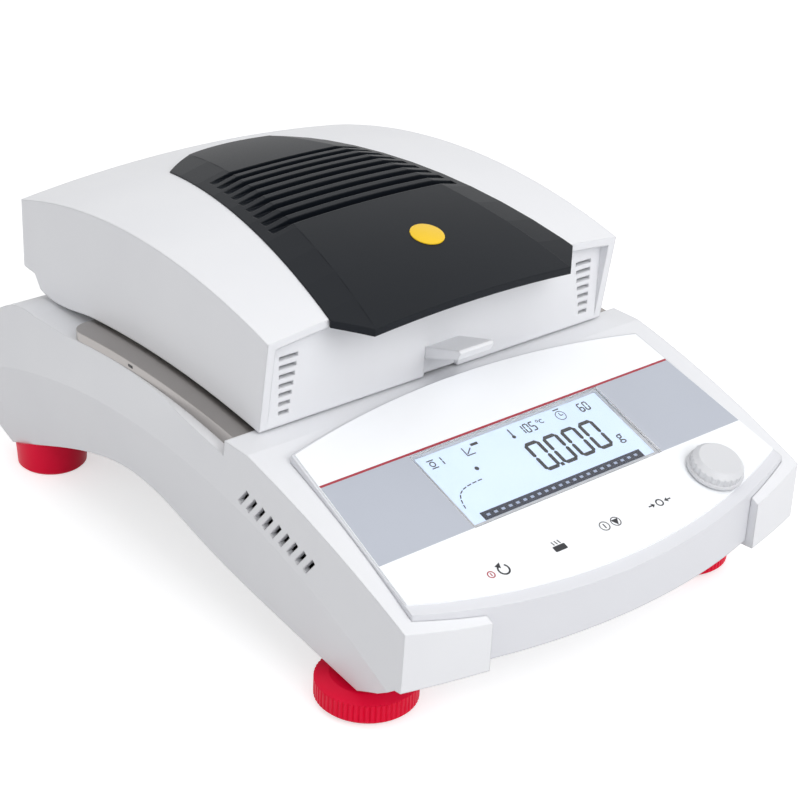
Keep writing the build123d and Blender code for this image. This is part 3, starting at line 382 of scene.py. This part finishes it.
@dataclass
class Workshop:
    """What every sub-assembly needs: the frame's nodes and the finishes."""

    nodes: dict[str, bpy.types.Object]
    wardrobe: Wardrobe

    def dress(self, finish: Finish, *names: str) -> None:
        """Give CAD nodes a finish.

        Args:
            finish: The finish.
            *names: The nodes.
        """
        for name in names:
            mesh = self.nodes[name].data
            mesh.materials.clear()
            mesh.materials.append(self.wardrobe.get(finish))

    def make(
        self, name: str, mesh: bmesh.types.BMesh, finish: Finish, body: str
    ) -> bpy.types.Object:
        """Turn a finished bmesh, in millimetres, into a piece on a body.

        Args:
            name: The piece's name.
            mesh: The mesh, in place.
            finish: The finish.
            body: The CAD body that it rides on.

        Returns:
            The new object.
        """
        bmesh.ops.recalc_face_normals(mesh, faces=mesh.faces[:])
        mesh.transform(Matrix.Scale(MM, 4))
        data = bpy.data.meshes.new(name)
        mesh.to_mesh(data)
        mesh.free()
        data.shade_smooth()
        data.set_sharp_from_angle(angle=math.radians(SMOOTH_ANGLE))
        data.materials.append(self.wardrobe.get(finish))
        piece = bpy.data.objects.new(name, data)
        bpy.context.scene.collection.objects.link(piece)
        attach(piece, body)
        LOG.info("%s rides on %s", name, body)
        return piece


class Print:
    """Flat artwork on the sloped panel, drawn in millimetres: x across, s down from the red line.

    The sizes of a digit's segments are shares of its stroke.
    """

    SEGMENTS = {"0": "abcdef", "1": "bc", "5": "afgcd", "6": "afgecd"}
    DIGIT_ASPECT = 0.5
    MITRE = 0.42
    LYING_SHORT = 1.1
    UPRIGHT_SHORT = 0.15
    DIGIT_GAP = 1.05
    POINT_BACK = 0.6

    def __init__(self) -> None:
        """Start with an empty sheet."""
        self.mesh = bmesh.new()

    def bar(self, x: float, s: float, wide: float, high: float, turn: float = 0.0, cut: float = 0.0) -> None:
        """Draw a bar, with its corners cut where cut is given.

        Args:
            x: Middle across.
            s: Middle down the slope.
            wide: Width.
            high: Height.
            turn: Turn in degrees.
            cut: Length cut off each corner.
        """
        turned = Matrix.Translation((x, -s, 0)) @ Matrix.Rotation(math.radians(turn), 4, "Z")
        place = turned @ Matrix.Diagonal((wide, high, 1, 1))
        made = bmesh.ops.create_grid(self.mesh, x_segments=1, y_segments=1, size=0.5, matrix=place)
        if cut:
            corners = made["verts"]
            bmesh.ops.bevel(
                self.mesh, geom=corners, offset=cut, affect="VERTICES", segments=1, profile=0.5, material=-1
            )

    def disc(self, x: float, s: float, radius: float) -> None:
        """Draw a filled disc.

        Args:
            x: Centre across.
            s: Centre down the slope.
            radius: Its radius.
        """
        place = Matrix.Translation((x, -s, 0))
        bmesh.ops.create_circle(self.mesh, cap_ends=True, segments=ROUND_STEPS, radius=radius, matrix=place)

    def arc(
        self, x: float, s: float, radius: float, stroke: float, start: float = 0.0, sweep: float = 360.0
    ) -> None:
        """Draw a ring, or part of one.

        Args:
            x: Centre across.
            s: Centre down the slope.
            radius: Radius of the stroke's middle.
            stroke: Width of the stroke.
            start: Where it starts, in degrees.
            sweep: How far it goes, in degrees.
        """
        centre = Vector((x, -s, 0))
        ray = Vector((math.cos(math.radians(start)), math.sin(math.radians(start)), 0))
        inner = self.mesh.verts.new(centre + ray * (radius - stroke / 2))
        outer = self.mesh.verts.new(centre + ray * (radius + stroke / 2))
        edge = self.mesh.edges.new((inner, outer))
        bmesh.ops.spin(
            self.mesh, geom=[inner, outer, edge], cent=centre, axis=(0, 0, 1),
            angle=math.radians(sweep), steps=ROUND_STEPS, use_merge=sweep >= 360.0,
        )

    def shape(self, *points: Point2) -> None:
        """Draw a filled outline.

        Args:
            *points: Its corners, each as x and s.
        """
        self.mesh.faces.new([self.mesh.verts.new((x, -s, 0)) for x, s in points])

    def digits(self, text: str, x: float, s: float, high: float, stroke: float) -> None:
        """Draw seven-segment digits.

        Args:
            text: Digits and points.
            x: Left edge of the first digit.
            s: Top of the digits.
            high: Height of a digit.
            stroke: Width of a segment.
        """
        wide = high * self.DIGIT_ASPECT
        half = (high - stroke) / 2
        top = s + stroke / 2
        lying = wide - stroke * self.LYING_SHORT
        upright = half - stroke * self.UPRIGHT_SHORT
        mitre = stroke * self.MITRE
        for sign in text:
            if sign == ".":
                self.bar(x - stroke * self.POINT_BACK, s + high - stroke / 2, stroke, stroke)
                continue
            lit = self.SEGMENTS[sign]
            for name, down in (("a", 0), ("g", 1), ("d", 2)):
                if name in lit:
                    self.bar(x + wide / 2, top + down * half, lying, stroke, cut=mitre)
            for name, across, down in (("f", 0, 0.5), ("b", 1, 0.5), ("e", 0, 1.5), ("c", 1, 1.5)):
                if name in lit:
                    middle = x + stroke / 2 + across * (wide - stroke)
                    self.bar(middle, top + down * half, stroke, upright, cut=mitre)
            x += wide + stroke * self.DIGIT_GAP

    def letters(self, text: str, x: float, s: float, size: float) -> None:
        """Set a plain sign in the built-in face.

        Args:
            text: The sign.
            x: Its middle across.
            s: Its middle down the slope.
            size: Size of the face.
        """
        curve = bpy.data.curves.new("sign", "FONT")
        curve.body = text
        curve.size = size
        curve.align_x = "CENTER"
        curve.align_y = "CENTER"
        carrier = bpy.data.objects.new("sign", curve)
        flat = bpy.data.meshes.new_from_object(carrier)
        flat.transform(Matrix.Translation((x, -s, 0)))
        self.mesh.from_mesh(flat)
        bpy.data.objects.remove(carrier)

    def lay(self, shop: Workshop, name: str, finish: Finish, low: float, thick: float, slot: str) -> None:
        """Give the artwork its thickness and lay it on the panel.

        Args:
            shop: The workshop.
            name: The piece's name.
            finish: The ink or film.
            low: Height of its back over the panel.
            thick: Thickness.
            slot: Not used.
        """
        raised = bmesh.ops.extrude_face_region(self.mesh, geom=self.mesh.faces[:])
        tops = [item for item in raised["geom"] if isinstance(item, bmesh.types.BMVert)]
        bmesh.ops.translate(self.mesh, verts=tops, vec=(0, 0, thick))
        self.mesh.transform(PANEL @ Matrix.Translation((0, 0, low)))
        shop.make(name, self.mesh, finish, "base")


@dataclass
class DisplayFace:
    """What the backlit display shows under its window."""

    field_low: float = -1.52
    field_thick: float = 0.08
    field_size: Point2 = (103.4, 41.9)
    field_s: float = 21.75
    ink_low: float = -1.42
    ink: float = 0.05
    fine: float = 0.5
    small: float = 0.6
    dash: float = 0.72
    path: tuple[Point2, ...] = (
        (-47.7, 32.8), (-47.1, 30.2), (-46.2, 27.7), (-44.6, 25.4), (-42.2, 23.9),
        (-39.4, 23.1), (-36.4, 22.7), (-33.4, 22.5), (-30.4, 22.4),
    )
    message_s: float = 38.9
    message_size: Point2 = (88.6, 4.2)
    blocks: int = 22
    first_block: float = -41.0
    block_pitch: float = 3.9
    block_size: Point2 = (1.7, 1.2)
    block_thick: float = 0.03

    def build(self, shop: Workshop) -> None:
        """Lay the lit field, the readings, the drying curve and the message bar.

        Args:
            shop: The workshop.
        """
        field = Print()
        field.bar(0, self.field_s, *self.field_size)
        field.lay(shop, "display_field", BACKLIGHT, self.field_low, self.field_thick, "display")
        self.readings(shop)
        self.curve(shop)
        self.message(shop)

    def readings(self, shop: Workshop) -> None:
        """Draw the weight, the temperature, the time and their small signs.

        Args:
            shop: The workshop.
        """
        sheet = Print()
        sheet.digits("0.000", x=-1.9, s=14.0, high=16.6, stroke=1.75)
        sheet.letters("g", x=41.8, s=27.4, size=7.6)
        # Degrees of heat, with a thermometer before them
        sheet.digits("105", x=2.4, s=4.6, high=5.2, stroke=self.small)
        sheet.arc(x=13.6, s=5.6, radius=0.55, stroke=0.3)
        sheet.arc(x=15.7, s=6.4, radius=1.0, stroke=0.4, start=45, sweep=270)
        sheet.bar(x=-1.9, s=6.4, wide=0.7, high=4.0)
        sheet.disc(x=-1.9, s=9.0, radius=0.9)
        # A stopwatch and the time
        sheet.arc(x=26.1, s=7.2, radius=2.4, stroke=0.35)
        sheet.bar(x=26.1, s=6.4, wide=0.4, high=1.7)
        sheet.bar(x=26.8, s=7.2, wide=1.4, high=0.4)
        sheet.bar(x=26.1, s=3.6, wide=3.2, high=0.6)
        sheet.digits("60", x=36.6, s=4.6, high=5.0, stroke=self.small)
        sheet.lay(shop, "display_readings", SEGMENT, self.ink_low, self.ink, "display")

    def curve(self, shop: Workshop) -> None:
        """Draw the drying curve in dashes, and the method's small signs.

        Args:
            shop: The workshop.
        """
        sheet = Print()
        for (x0, s0), (x1, s1) in zip(self.path[:-1], self.path[1:]):
            long = math.hypot(x1 - x0, s1 - s0)
            turn = math.degrees(math.atan2(s0 - s1, x1 - x0))
            sheet.bar((x0 + x1) / 2, (s0 + s1) / 2, long * self.dash, self.fine, turn=turn)
        sheet.disc(x=-28.8, s=16.8, radius=1.0)
        # The method's holder and number
        sheet.bar(x=-44.6, s=5.4, wide=3.4, high=self.fine)
        sheet.bar(x=-44.6, s=9.6, wide=3.4, high=self.fine)
        sheet.arc(x=-44.6, s=7.5, radius=1.2, stroke=self.fine)
        sheet.digits("1", x=-41.6, s=5.0, high=4.8, stroke=self.small)
        # A little graph for the way of heating
        sheet.bar(x=-27.6, s=7.4, wide=self.fine, high=4.6)
        sheet.bar(x=-25.6, s=9.6, wide=4.4, high=self.fine)
        sheet.bar(x=-25.4, s=7.6, wide=4.0, high=self.fine, turn=38)
        sheet.bar(x=-20.8, s=5.2, wide=3.8, high=1.3)
        sheet.lay(shop, "display_curve", SEGMENT, self.ink_low, self.ink, "display")

    def message(self, shop: Workshop) -> None:
        """Draw the dark bar with its row of pale blocks.

        Args:
            shop: The workshop.
        """
        field = Print()
        field.bar(0.2, self.message_s, *self.message_size)
        field.lay(shop, "display_bar", BAR_FIELD, self.ink_low, self.ink, "display")
        row = Print()
        for i in range(self.blocks):
            row.bar(self.first_block + i * self.block_pitch, self.message_s, *self.block_size)
        row.lay(shop, "display_blocks", BAR_LIGHT, self.ink_low + self.ink, self.block_thick, "display")


@dataclass
class PanelPrint:
    """The printed film's bands, line and touch signs."""

    line_s: float = -0.1
    line_wide: float = 1.1
    band_bottom: float = 43.0
    window_half: float = 52.3
    key_s: float = 65.0
    ink_low: float = FILM_TOP
    ink: float = 0.05
    film_rear_y: float = -59.1
    film_rear_half: float = 94.5
    film_spread: float = 7.2
    film_long: float = 77.1
    margin: float = 0.2

    def edge(self, s: float) -> float:
        """Measure the film's half width, a little inside its edge.

        Args:
            s: How far down the slope.

        Returns:
            The half width there.
        """
        y = PANEL_ORIGIN[1] - s * math.cos(PANEL_ANGLE)
        return self.film_rear_half - (y - self.film_rear_y) * self.film_spread / self.film_long - self.margin

    def build(self, shop: Workshop) -> None:
        """Print the bands, the line and the signs.

        Args:
            shop: The workshop.
        """
        bands = Print()
        top = self.line_s + self.line_wide / 2
        low = self.band_bottom
        for side in Side:
            k = side.value
            inner = k * self.window_half
            bands.shape((inner, top), (k * self.edge(top), top), (k * self.edge(low), low), (inner, low))
        self.lay(shop, "printed_bands", bands, GREY_INK)
        line = Print()
        line.bar(0, self.line_s, 2 * self.edge(self.line_s), self.line_wide)
        self.lay(shop, "printed_line", line, RED_INK)
        self.signs(shop)

    def lay(self, shop: Workshop, name: str, sheet: Print, ink: Finish) -> None:
        """Print a sheet on the film.

        Args:
            shop: The workshop.
            name: The piece's name.
            sheet: The artwork.
            ink: Its ink.
        """
        sheet.lay(shop, name, ink, self.ink_low, self.ink, "panel_film")

    def signs(self, shop: Workshop) -> None:
        """Print plain signs over the four touch pads.

        Args:
            shop: The workshop.
        """
        s = self.key_s
        red = Print()
        red.arc(x=-62.0, s=s, radius=1.5, stroke=0.5)
        red.bar(x=-62.0, s=s, wide=0.5, high=1.6)
        self.lay(shop, "sign_standby", red, RED_INK)
        power = Print()
        power.arc(x=-55.6, s=s, radius=2.4, stroke=0.75, start=120, sweep=290)
        power.shape((-58.3, s - 2.6), (-55.2, s - 3.6), (-56.2, s - 0.9))
        self.lay(shop, "sign_power", power, BLACK_INK)
        heat = Print()
        heat.bar(x=-26.8, s=s + 1.0, wide=6.2, high=2.8, cut=0.3)
        for i in range(3):
            heat.bar(x=-28.4 + i * 1.6, s=s - 1.8, wide=0.5, high=1.9, turn=12)
        self.lay(shop, "sign_heat", heat, BLACK_INK)
        choose = Print()
        choose.arc(x=-1.6, s=s, radius=2.2, stroke=0.4)
        choose.bar(x=-1.6, s=s, wide=0.6, high=2.4)
        choose.arc(x=4.6, s=s, radius=2.2, stroke=0.4)
        choose.shape((2.8, s - 1.2), (6.4, s - 1.2), (4.6, s + 1.9))
        self.lay(shop, "sign_choose", choose, BLACK_INK)
        zero = Print()
        middle = 29.7
        zero.arc(x=middle, s=s, radius=1.6, stroke=0.6)
        for side in Side:
            k = side.value
            zero.bar(x=middle + k * 5.2, s=s, wide=2.0, high=0.6)
            back = middle + k * 4.4
            zero.shape((back, s - 1.2), (back, s + 1.2), (middle + k * 2.8, s))
        self.lay(shop, "sign_zero", zero, BLACK_INK)


@dataclass
class SpiritLevel:
    """The round level in the panel, with its ring and its bubble."""

    x: float = 74.9
    s: float = 22.4
    ring: float = 3.0
    ring_stroke: float = 0.35
    ring_low: float = -2.15
    ring_thick: float = 0.1
    bubble: float = 2.1
    bubble_flat: float = 0.35
    bubble_drift: Point3 = (0.8, 0.6, -3.1)

    def build(self, shop: Workshop) -> None:
        """Dress the level and put the ring and bubble under its window.

        Args:
            shop: The workshop.
        """
        shop.dress(VIAL, "level_vial")
        shop.dress(VIAL_GLASS, "level_window")
        ring = Print()
        ring.arc(self.x, self.s, self.ring, self.ring_stroke)
        ring.lay(shop, "level_ring", BLACK_INK, self.ring_low, self.ring_thick, "level_cup")
        drop = bmesh.new()
        bmesh.ops.create_uvsphere(drop, u_segments=24, v_segments=12, radius=self.bubble)
        bmesh.ops.scale(drop, verts=drop.verts[:], vec=(1, 1, self.bubble_flat))
        dx, dy, dz = self.bubble_drift
        drop.transform(PANEL @ Matrix.Translation((self.x + dx, -self.s + dy, dz)))
        shop.make("level_bubble", drop, BUBBLE, "base")


class Panel:
    """The sloped control panel with its film, display, keys, level and knob."""

    def build(self, shop: Workshop) -> None:
        """Dress the panel and print its face.

        Args:
            shop: The workshop.
        """
        shop.dress(INSERT_ABS, "panel_insert")
        shop.dress(FILM, "panel_overlay")
        shop.dress(ACRYLIC, "display_window")
        shop.dress(MODULE, "display_module")
        shop.dress(KEY_BOARD, "key_board")
        shop.dress(KNOB_ABS, "control_knob")
        shop.dress(NICKEL, "encoder_shaft")
        shop.dress(BLACK_PA, "encoder_body")
        PanelPrint().build(shop)
        DisplayFace().build(shop)
        SpiritLevel().build(shop)


@dataclass
class Screw:
    """A pan-head screw with a six-lobed recess. The shares are of its radius or head."""

    radius: float = 3.0
    head: float = 1.6
    crown_share: float = 0.86
    recess_inset: float = 0.36
    recess_depth: float = 0.6
    lobes: int = 6
    lobe_share: float = 0.16

    def head_mesh(self) -> bmesh.types.BMesh:
        """Shape the head, standing up from z = 0.

        Returns:
            The head's mesh.
        """
        mesh = bmesh.new()
        crown = self.radius * self.crown_share
        bmesh.ops.create_cone(
            mesh, cap_ends=True, segments=24, radius1=self.radius, radius2=crown, depth=self.head
        )
        bmesh.ops.translate(mesh, verts=mesh.verts[:], vec=(0, 0, self.head / 2))
        top = max(mesh.faces, key=lambda face: face.calc_center_median().z)
        bmesh.ops.inset_region(mesh, faces=[top], thickness=self.radius * self.recess_inset)
        for vert in top.verts:
            angle = math.atan2(vert.co.y, vert.co.x)
            vert.co.xy *= 1.0 + self.lobe_share * math.cos(self.lobes * angle)
        pit = bmesh.ops.extrude_discrete_faces(mesh, faces=[top])["faces"][0]
        bmesh.ops.translate(mesh, verts=pit.verts[:], vec=(0, 0, -self.head * self.recess_depth))
        return mesh

    def place(self, shop: Workshop, name: str, spots: list[Point3], down: bool, body: str) -> None:
        """Set a group of screws.

        Args:
            shop: The workshop.
            name: The group's name.
            spots: Where each head sits.
            down: True where the heads point down.
            body: The body that holds them.
        """
        group = bmesh.new()
        for spot in spots:
            head = self.head_mesh()
            if down:
                head.transform(Matrix.Rotation(math.pi, 4, "X"))
            head.transform(Matrix.Translation(spot))
            data = bpy.data.meshes.new("screw")
            head.to_mesh(data)
            head.free()
            group.from_mesh(data)
            bpy.data.meshes.remove(data)
        shop.make(name, group, NICKEL, body)


@dataclass
class Base:
    """The housing, its cover and what it carries."""

    inlet_x: float = 52.0
    inlet_z: float = 54.0
    rear_y: float = 158.8
    pin_depth: float = 9.4
    pin_size: Point3 = (2.4, 14.0, 4.4)
    pin_spots: tuple[Point2, ...] = ((-7, 2), (0, -2), (7, 2))
    # A thin black sheet behind each flank's louvres: painted shade inside the vents
    shade_sheet_x: float = 104.2
    shade_sheet_centre: Point2 = (-67.5, 65.7)
    shade_sheet_slant: float = math.atan(0.25)
    shade_sheet_size: Point3 = (0.8, 53.0, 12.0)
    cover_screw_x: float = 60.0
    cover_screw_yz: tuple[Point2, ...] = ((-62.6, 20.6), (46.4, 40.8))
    main_screw_xy: tuple[Point2, ...] = ((-72, -98), (-72, -66), (72, -98), (72, -66))
    supply_screw_xy: tuple[Point2, ...] = ((-82, 114), (-82, 136), (-28, 114), (-28, 136))

    def build(self, shop: Workshop) -> None:
        """Dress the base and add its screws and the inlet's pins.

        Args:
            shop: The workshop.
        """
        shop.dress(ABS, "base_housing")
        shop.dress(COVER_ABS, "bottom_cover")
        shop.dress(MAIN_BOARD, "main_board")
        shop.dress(SUPPLY_BOARD, "power_supply")
        shop.dress(BLACK_PA, "mains_inlet", "data_port")
        shop.dress(MACHINED, "weighing_cell")
        shop.dress(CAST, "cell_bracket")
        cover = [(side.value * self.cover_screw_x, y, z) for side in Side for y, z in self.cover_screw_yz]
        Screw().place(shop, "cover_screws", cover, True, "base")
        boards = [(x, y, MAIN_BOARD_TOP) for x, y in self.main_screw_xy]
        boards += [(x, y, SUPPLY_BOARD_TOP) for x, y in self.supply_screw_xy]
        Screw(radius=2.6, head=1.4).place(shop, "board_screws", boards, False, "base")
        self.pins(shop)
        for side in Side:
            self.vent_shade_sheet(shop, side)

    def vent_shade_sheet(self, shop: Workshop, side: Side) -> None:
        """Stand a thin dark sheet behind the louvres of one flank: painted shade for the dark inside of the
        vents.

        Args:
            shop: The workshop.
            side: Which flank.
        """
        mesh = bmesh.new()
        slant = Matrix.Rotation(self.shade_sheet_slant, 4, "X")
        place = Matrix.Translation((side.value * self.shade_sheet_x, *self.shade_sheet_centre)) @ slant
        add_box(mesh, place, self.shade_sheet_size)
        soften(mesh, mesh.edges[:], offset=0.2, segments=1)
        shop.make(f"vent_shade_sheet_{side.name.lower()}", mesh, BLACK_PA, "base")

    def pins(self, shop: Workshop) -> None:
        """Sleeve the inlet's three pins in nickel.

        Args:
            shop: The workshop.
        """
        mesh = bmesh.new()
        for dx, dz in self.pin_spots:
            middle = (self.inlet_x + dx, self.rear_y - self.pin_depth, self.inlet_z + dz)
            add_box(mesh, Matrix.Translation(middle), self.pin_size)
        soften(mesh, mesh.edges[:], offset=0.35, segments=2)
        shop.make("inlet_pins", mesh, NICKEL, "base")


@dataclass
class Chamber:
    """The steel tray with its two catch slots, the well and the pan."""

    slot_x: float = 103.9
    slot_yz: Point2 = (41.0, 91.2)
    slot_size: Point3 = (0.5, 3.4, 1.3)

    def build(self, shop: Workshop) -> None:
        """Dress the chamber's metal and mark the slots with black patches, painted shade for their openings.

        Args:
            shop: The workshop.
        """
        shop.dress(BRUSHED, "heat_shield_tray")
        shop.dress(SPUN, "drip_tray", "draft_shield_ring", "pan_support")
        shop.dress(FOIL, "sample_pan")
        # Flat black patches on the tray's flanks: painted shade where the catch slots open
        mesh = bmesh.new()
        for side in Side:
            add_box(mesh, Matrix.Translation((side.value * self.slot_x, *self.slot_yz)), self.slot_size)
        soften(mesh, mesh.edges[:], offset=0.2, segments=2)
        shop.make("tray_slot_shade", mesh, BLACK_PA, "base")


@dataclass
class Lid:
    """The heating lid with its hood, lamp and hinge."""

    dot: Point2 = (5.0, -18.0)
    dot_radius: float = 7.5
    dot_thick: float = 0.4
    crown_radius: float = 680.0
    crown_top: float = 149.1
    hood_arc: tuple[Point2, ...] = ((-55.7, 134.2), (50.0, 152.6), (118.7, 144.2))
    lamp: Point2 = (34.0, 111.0)
    coil_half: float = 28.0
    coil_radius: float = 1.4
    coil_turns: int = 16
    coil_steps: int = 12
    wire_radius: float = 0.28
    wire_sides: int = 6

    def arc_height(self, y: float) -> float:
        """Measure the hood's middle line, which is the circle through its three points.

        Args:
            y: How far back.

        Returns:
            The height there.
        """
        (y1, z1), (y2, z2), (y3, z3) = self.hood_arc
        d = 2 * (y1 * (z2 - z3) + y2 * (z3 - z1) + y3 * (z1 - z2))
        s1, s2, s3 = y1 * y1 + z1 * z1, y2 * y2 + z2 * z2, y3 * y3 + z3 * z3
        cy = (s1 * (z2 - z3) + s2 * (z3 - z1) + s3 * (z1 - z2)) / d
        cz = (s1 * (y3 - y2) + s2 * (y1 - y3) + s3 * (y2 - y1)) / d
        return cz + math.sqrt(math.hypot(y1 - cy, z1 - cz) ** 2 - (y - cy) ** 2)

    def build(self, shop: Workshop) -> None:
        """Dress the lid and add the dot and the lamp's filament.

        Args:
            shop: The workshop.
        """
        shop.dress(LID_ABS, "lid_cover", "lid_handle")
        shop.dress(HOOD_PA, "vent_hood")
        shop.dress(BRUSHED, "heater_plate", "glass_retainer")
        shop.dress(QUARTZ, "protective_glass", "halogen_lamp")
        shop.dress(POLISHED, "reflector")
        shop.dress(CERAMIC, "lamp_holders")
        shop.dress(NICKEL, "temperature_sensor", "hinge_pins", "hinge_arm_left", "hinge_arm_right")
        shop.dress(ABS, "hinge_bracket_left", "hinge_bracket_right")
        self.round_inlay(shop)
        self.filament(shop)

    def round_inlay(self, shop: Workshop) -> None:
        """Set the plain yellow dot in the hood's front field.

        Args:
            shop: The workshop.
        """
        x, y = self.dot
        centre = self.crown_top - self.crown_radius
        z = centre + math.sqrt((self.arc_height(y) - centre) ** 2 - x * x)
        slope = math.atan(self.arc_height(y + 0.5) - self.arc_height(y - 0.5))
        mesh = bmesh.new()
        bmesh.ops.create_cone(
            mesh, cap_ends=True, segments=64,
            radius1=self.dot_radius, radius2=self.dot_radius, depth=2 * self.dot_thick,
        )
        rim = [edge for edge in mesh.edges if min(vert.co.z for vert in edge.verts) > 0]
        soften(mesh, rim, offset=0.2, segments=2)
        lean = Matrix.Rotation(slope, 4, "X") @ Matrix.Rotation(x / self.crown_radius, 4, "Y")
        mesh.transform(Matrix.Translation((x, y, z)) @ lean)
        shop.make("hood_dot", mesh, YELLOW_PC, "lid")

    def filament(self, shop: Workshop) -> None:
        """Wind the tungsten coil inside the halogen tube.

        Args:
            shop: The workshop.
        """
        y, z = self.lamp
        steps = self.coil_turns * self.coil_steps
        mesh = bmesh.new()
        start = Matrix.Translation((-self.coil_half, y, z + self.coil_radius))
        wire = bmesh.ops.create_circle(mesh, segments=self.wire_sides, radius=self.wire_radius, matrix=start)
        rim = list({edge for vert in wire["verts"] for edge in vert.link_edges})
        bmesh.ops.spin(
            mesh, geom=wire["verts"] + rim, cent=(-self.coil_half, y, z), axis=(1, 0, 0),
            dvec=(2 * self.coil_half / steps, 0, 0), angle=self.coil_turns * 2 * math.pi, steps=steps,
        )
        ends = [edge for edge in mesh.edges if edge.is_boundary]
        bmesh.ops.holes_fill(mesh, edges=ends, sides=self.wire_sides)
        shop.make("lamp_filament", mesh, TUNGSTEN, "lid")


class Feet:
    """The levelling wheels in front and the fixed feet behind."""

    def build(self, shop: Workshop) -> None:
        """Dress the feet.

        Args:
            shop: The workshop.
        """
        for side in Side:
            name = side.name.lower()
            shop.dress(RED_PA, f"foot_wheel_{name}", f"rear_foot_{name}")
            shop.dress(RUBBER, f"foot_pad_{name}")
            shop.dress(BRASS, f"foot_bush_{name}")


@dataclass(frozen=True)
class SoftBox:
    """A soft square lamp that faces the analyzer, in metres and watts."""

    name: str
    place: Point3
    size: float
    power: float
    target: Point3 = (0, 0, 0.06)

    def hang(self) -> None:
        """Hang the lamp in the scene."""
        data = bpy.data.lights.new(self.name, "AREA")
        data.energy = self.power
        data.size = self.size
        lamp = bpy.data.objects.new(self.name, data)
        lamp.location = self.place
        ray = Vector(self.target) - Vector(self.place)
        lamp.rotation_euler = ray.to_track_quat("-Z", "Y").to_euler()
        bpy.context.scene.collection.objects.link(lamp)


@dataclass
class Studio:
    """Floor, lamps, world and camera."""

    focal_pixels: float = 2048.4
    photo_pixels: float = 800.0
    sensor: float = 36.0
    camera_place: Point3 = (-0.5231, -0.6054, 0.4737)
    right: Point3 = (0.7640, -0.6438, 0.0426)
    up: Point3 = (0.2662, 0.3747, 0.8881)
    away: Point3 = (0.5877, 0.6672, -0.4576)
    ambient: float = 0.60
    paper: str = "#D4D4D5"
    paper_lift: float = 0.60
    floor_half: float = 6.0
    lamps: tuple[SoftBox, ...] = (
        SoftBox("key", (0.10, -1.25, 1.05), size=1.2, power=13.0),
        SoftBox("fill", (-1.5, -0.2, 0.9), size=1.0, power=3.2),
        SoftBox("top", (0.1, -0.2, 1.5), size=1.2, power=2.4),
    )

    def camera(self) -> None:
        """Put the camera where the photograph was taken from."""
        data = bpy.data.cameras.new("camera")
        data.sensor_width = self.sensor
        data.lens = self.focal_pixels / self.photo_pixels * self.sensor
        data.clip_start = 0.01
        axes = Matrix((self.right, self.up, -Vector(self.away))).transposed().to_4x4()
        view = bpy.data.objects.new("camera", data)
        view.matrix_world = Matrix.Translation(self.camera_place) @ axes
        bpy.context.scene.collection.objects.link(view)
        bpy.context.scene.camera = view

    def seen_white(self, tree: bpy.types.NodeTree) -> bpy.types.NodeSocket:
        """Give 1 for rays that see the background, from the camera or in metal and glass.

        Args:
            tree: The node tree.

        Returns:
            The factor socket.
        """
        rays = add_node(tree, "LightPath").outputs
        straight = {0: rays["Is Camera Ray"], 1: rays["Is Glossy Ray"]}
        both = add_node(tree, "Math", straight, operation="MAXIMUM").outputs[0]
        every = {0: both, 1: rays["Is Transmission Ray"]}
        return add_node(tree, "Math", every, operation="MAXIMUM").outputs[0]

    def world(self) -> None:
        """Light the scene evenly and show white behind it."""
        world = bpy.data.worlds.new("studio")
        tree = fresh_tree(world)
        strength = {"Value": self.seen_white(tree), "To Min": self.ambient, "To Max": 1.0}
        level = add_node(tree, "MapRange", strength)
        sky = add_node(tree, "Background", {"Color": WHITE, "Strength": level.outputs[0]})
        add_node(tree, "OutputWorld", {"Surface": sky.outputs[0]})
        bpy.context.scene.world = world

    def floor(self) -> None:
        """Lay a white floor that keeps the shadow."""
        mesh = bmesh.new()
        bmesh.ops.create_grid(mesh, x_segments=1, y_segments=1, size=self.floor_half)
        data = bpy.data.meshes.new("floor")
        mesh.to_mesh(data)
        mesh.free()
        paper = bpy.data.materials.new("white_paper")
        tree = fresh_tree(paper)
        matt = add_node(tree, "BsdfDiffuse", {"Color": linear(self.paper)})
        lift = add_node(tree, "Math", {0: self.seen_white(tree), 1: self.paper_lift}, operation="MULTIPLY")
        glow = add_node(tree, "Emission", {"Color": WHITE, "Strength": lift.outputs[0]})
        both = add_node(tree, "AddShader", {0: matt.outputs[0], 1: glow.outputs[0]})
        add_node(tree, "OutputMaterial", {"Surface": both.outputs[0]})
        data.materials.append(paper)
        floor = bpy.data.objects.new("floor", data)
        bpy.context.scene.collection.objects.link(floor)

    def build(self) -> None:
        """Set up the whole studio."""
        bpy.context.scene.view_settings.view_transform = "Standard"
        self.camera()
        self.world()
        self.floor()
        for lamp in self.lamps:
            lamp.hang()


def main() -> None:
    """Dress the analyzer piece by piece and light it."""
    logging.basicConfig(level=logging.INFO, format="%(name)s: %(message)s")
    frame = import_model()
    shop = Workshop(frame["nodes"], Wardrobe())
    Studio().build()
    for assembly in (Base(), Chamber(), Panel(), Lid(), Feet()):
        assembly.build(shop)
        LOG.info("%s dressed", type(assembly).__name__)


if __name__ == "__main__":
    main()
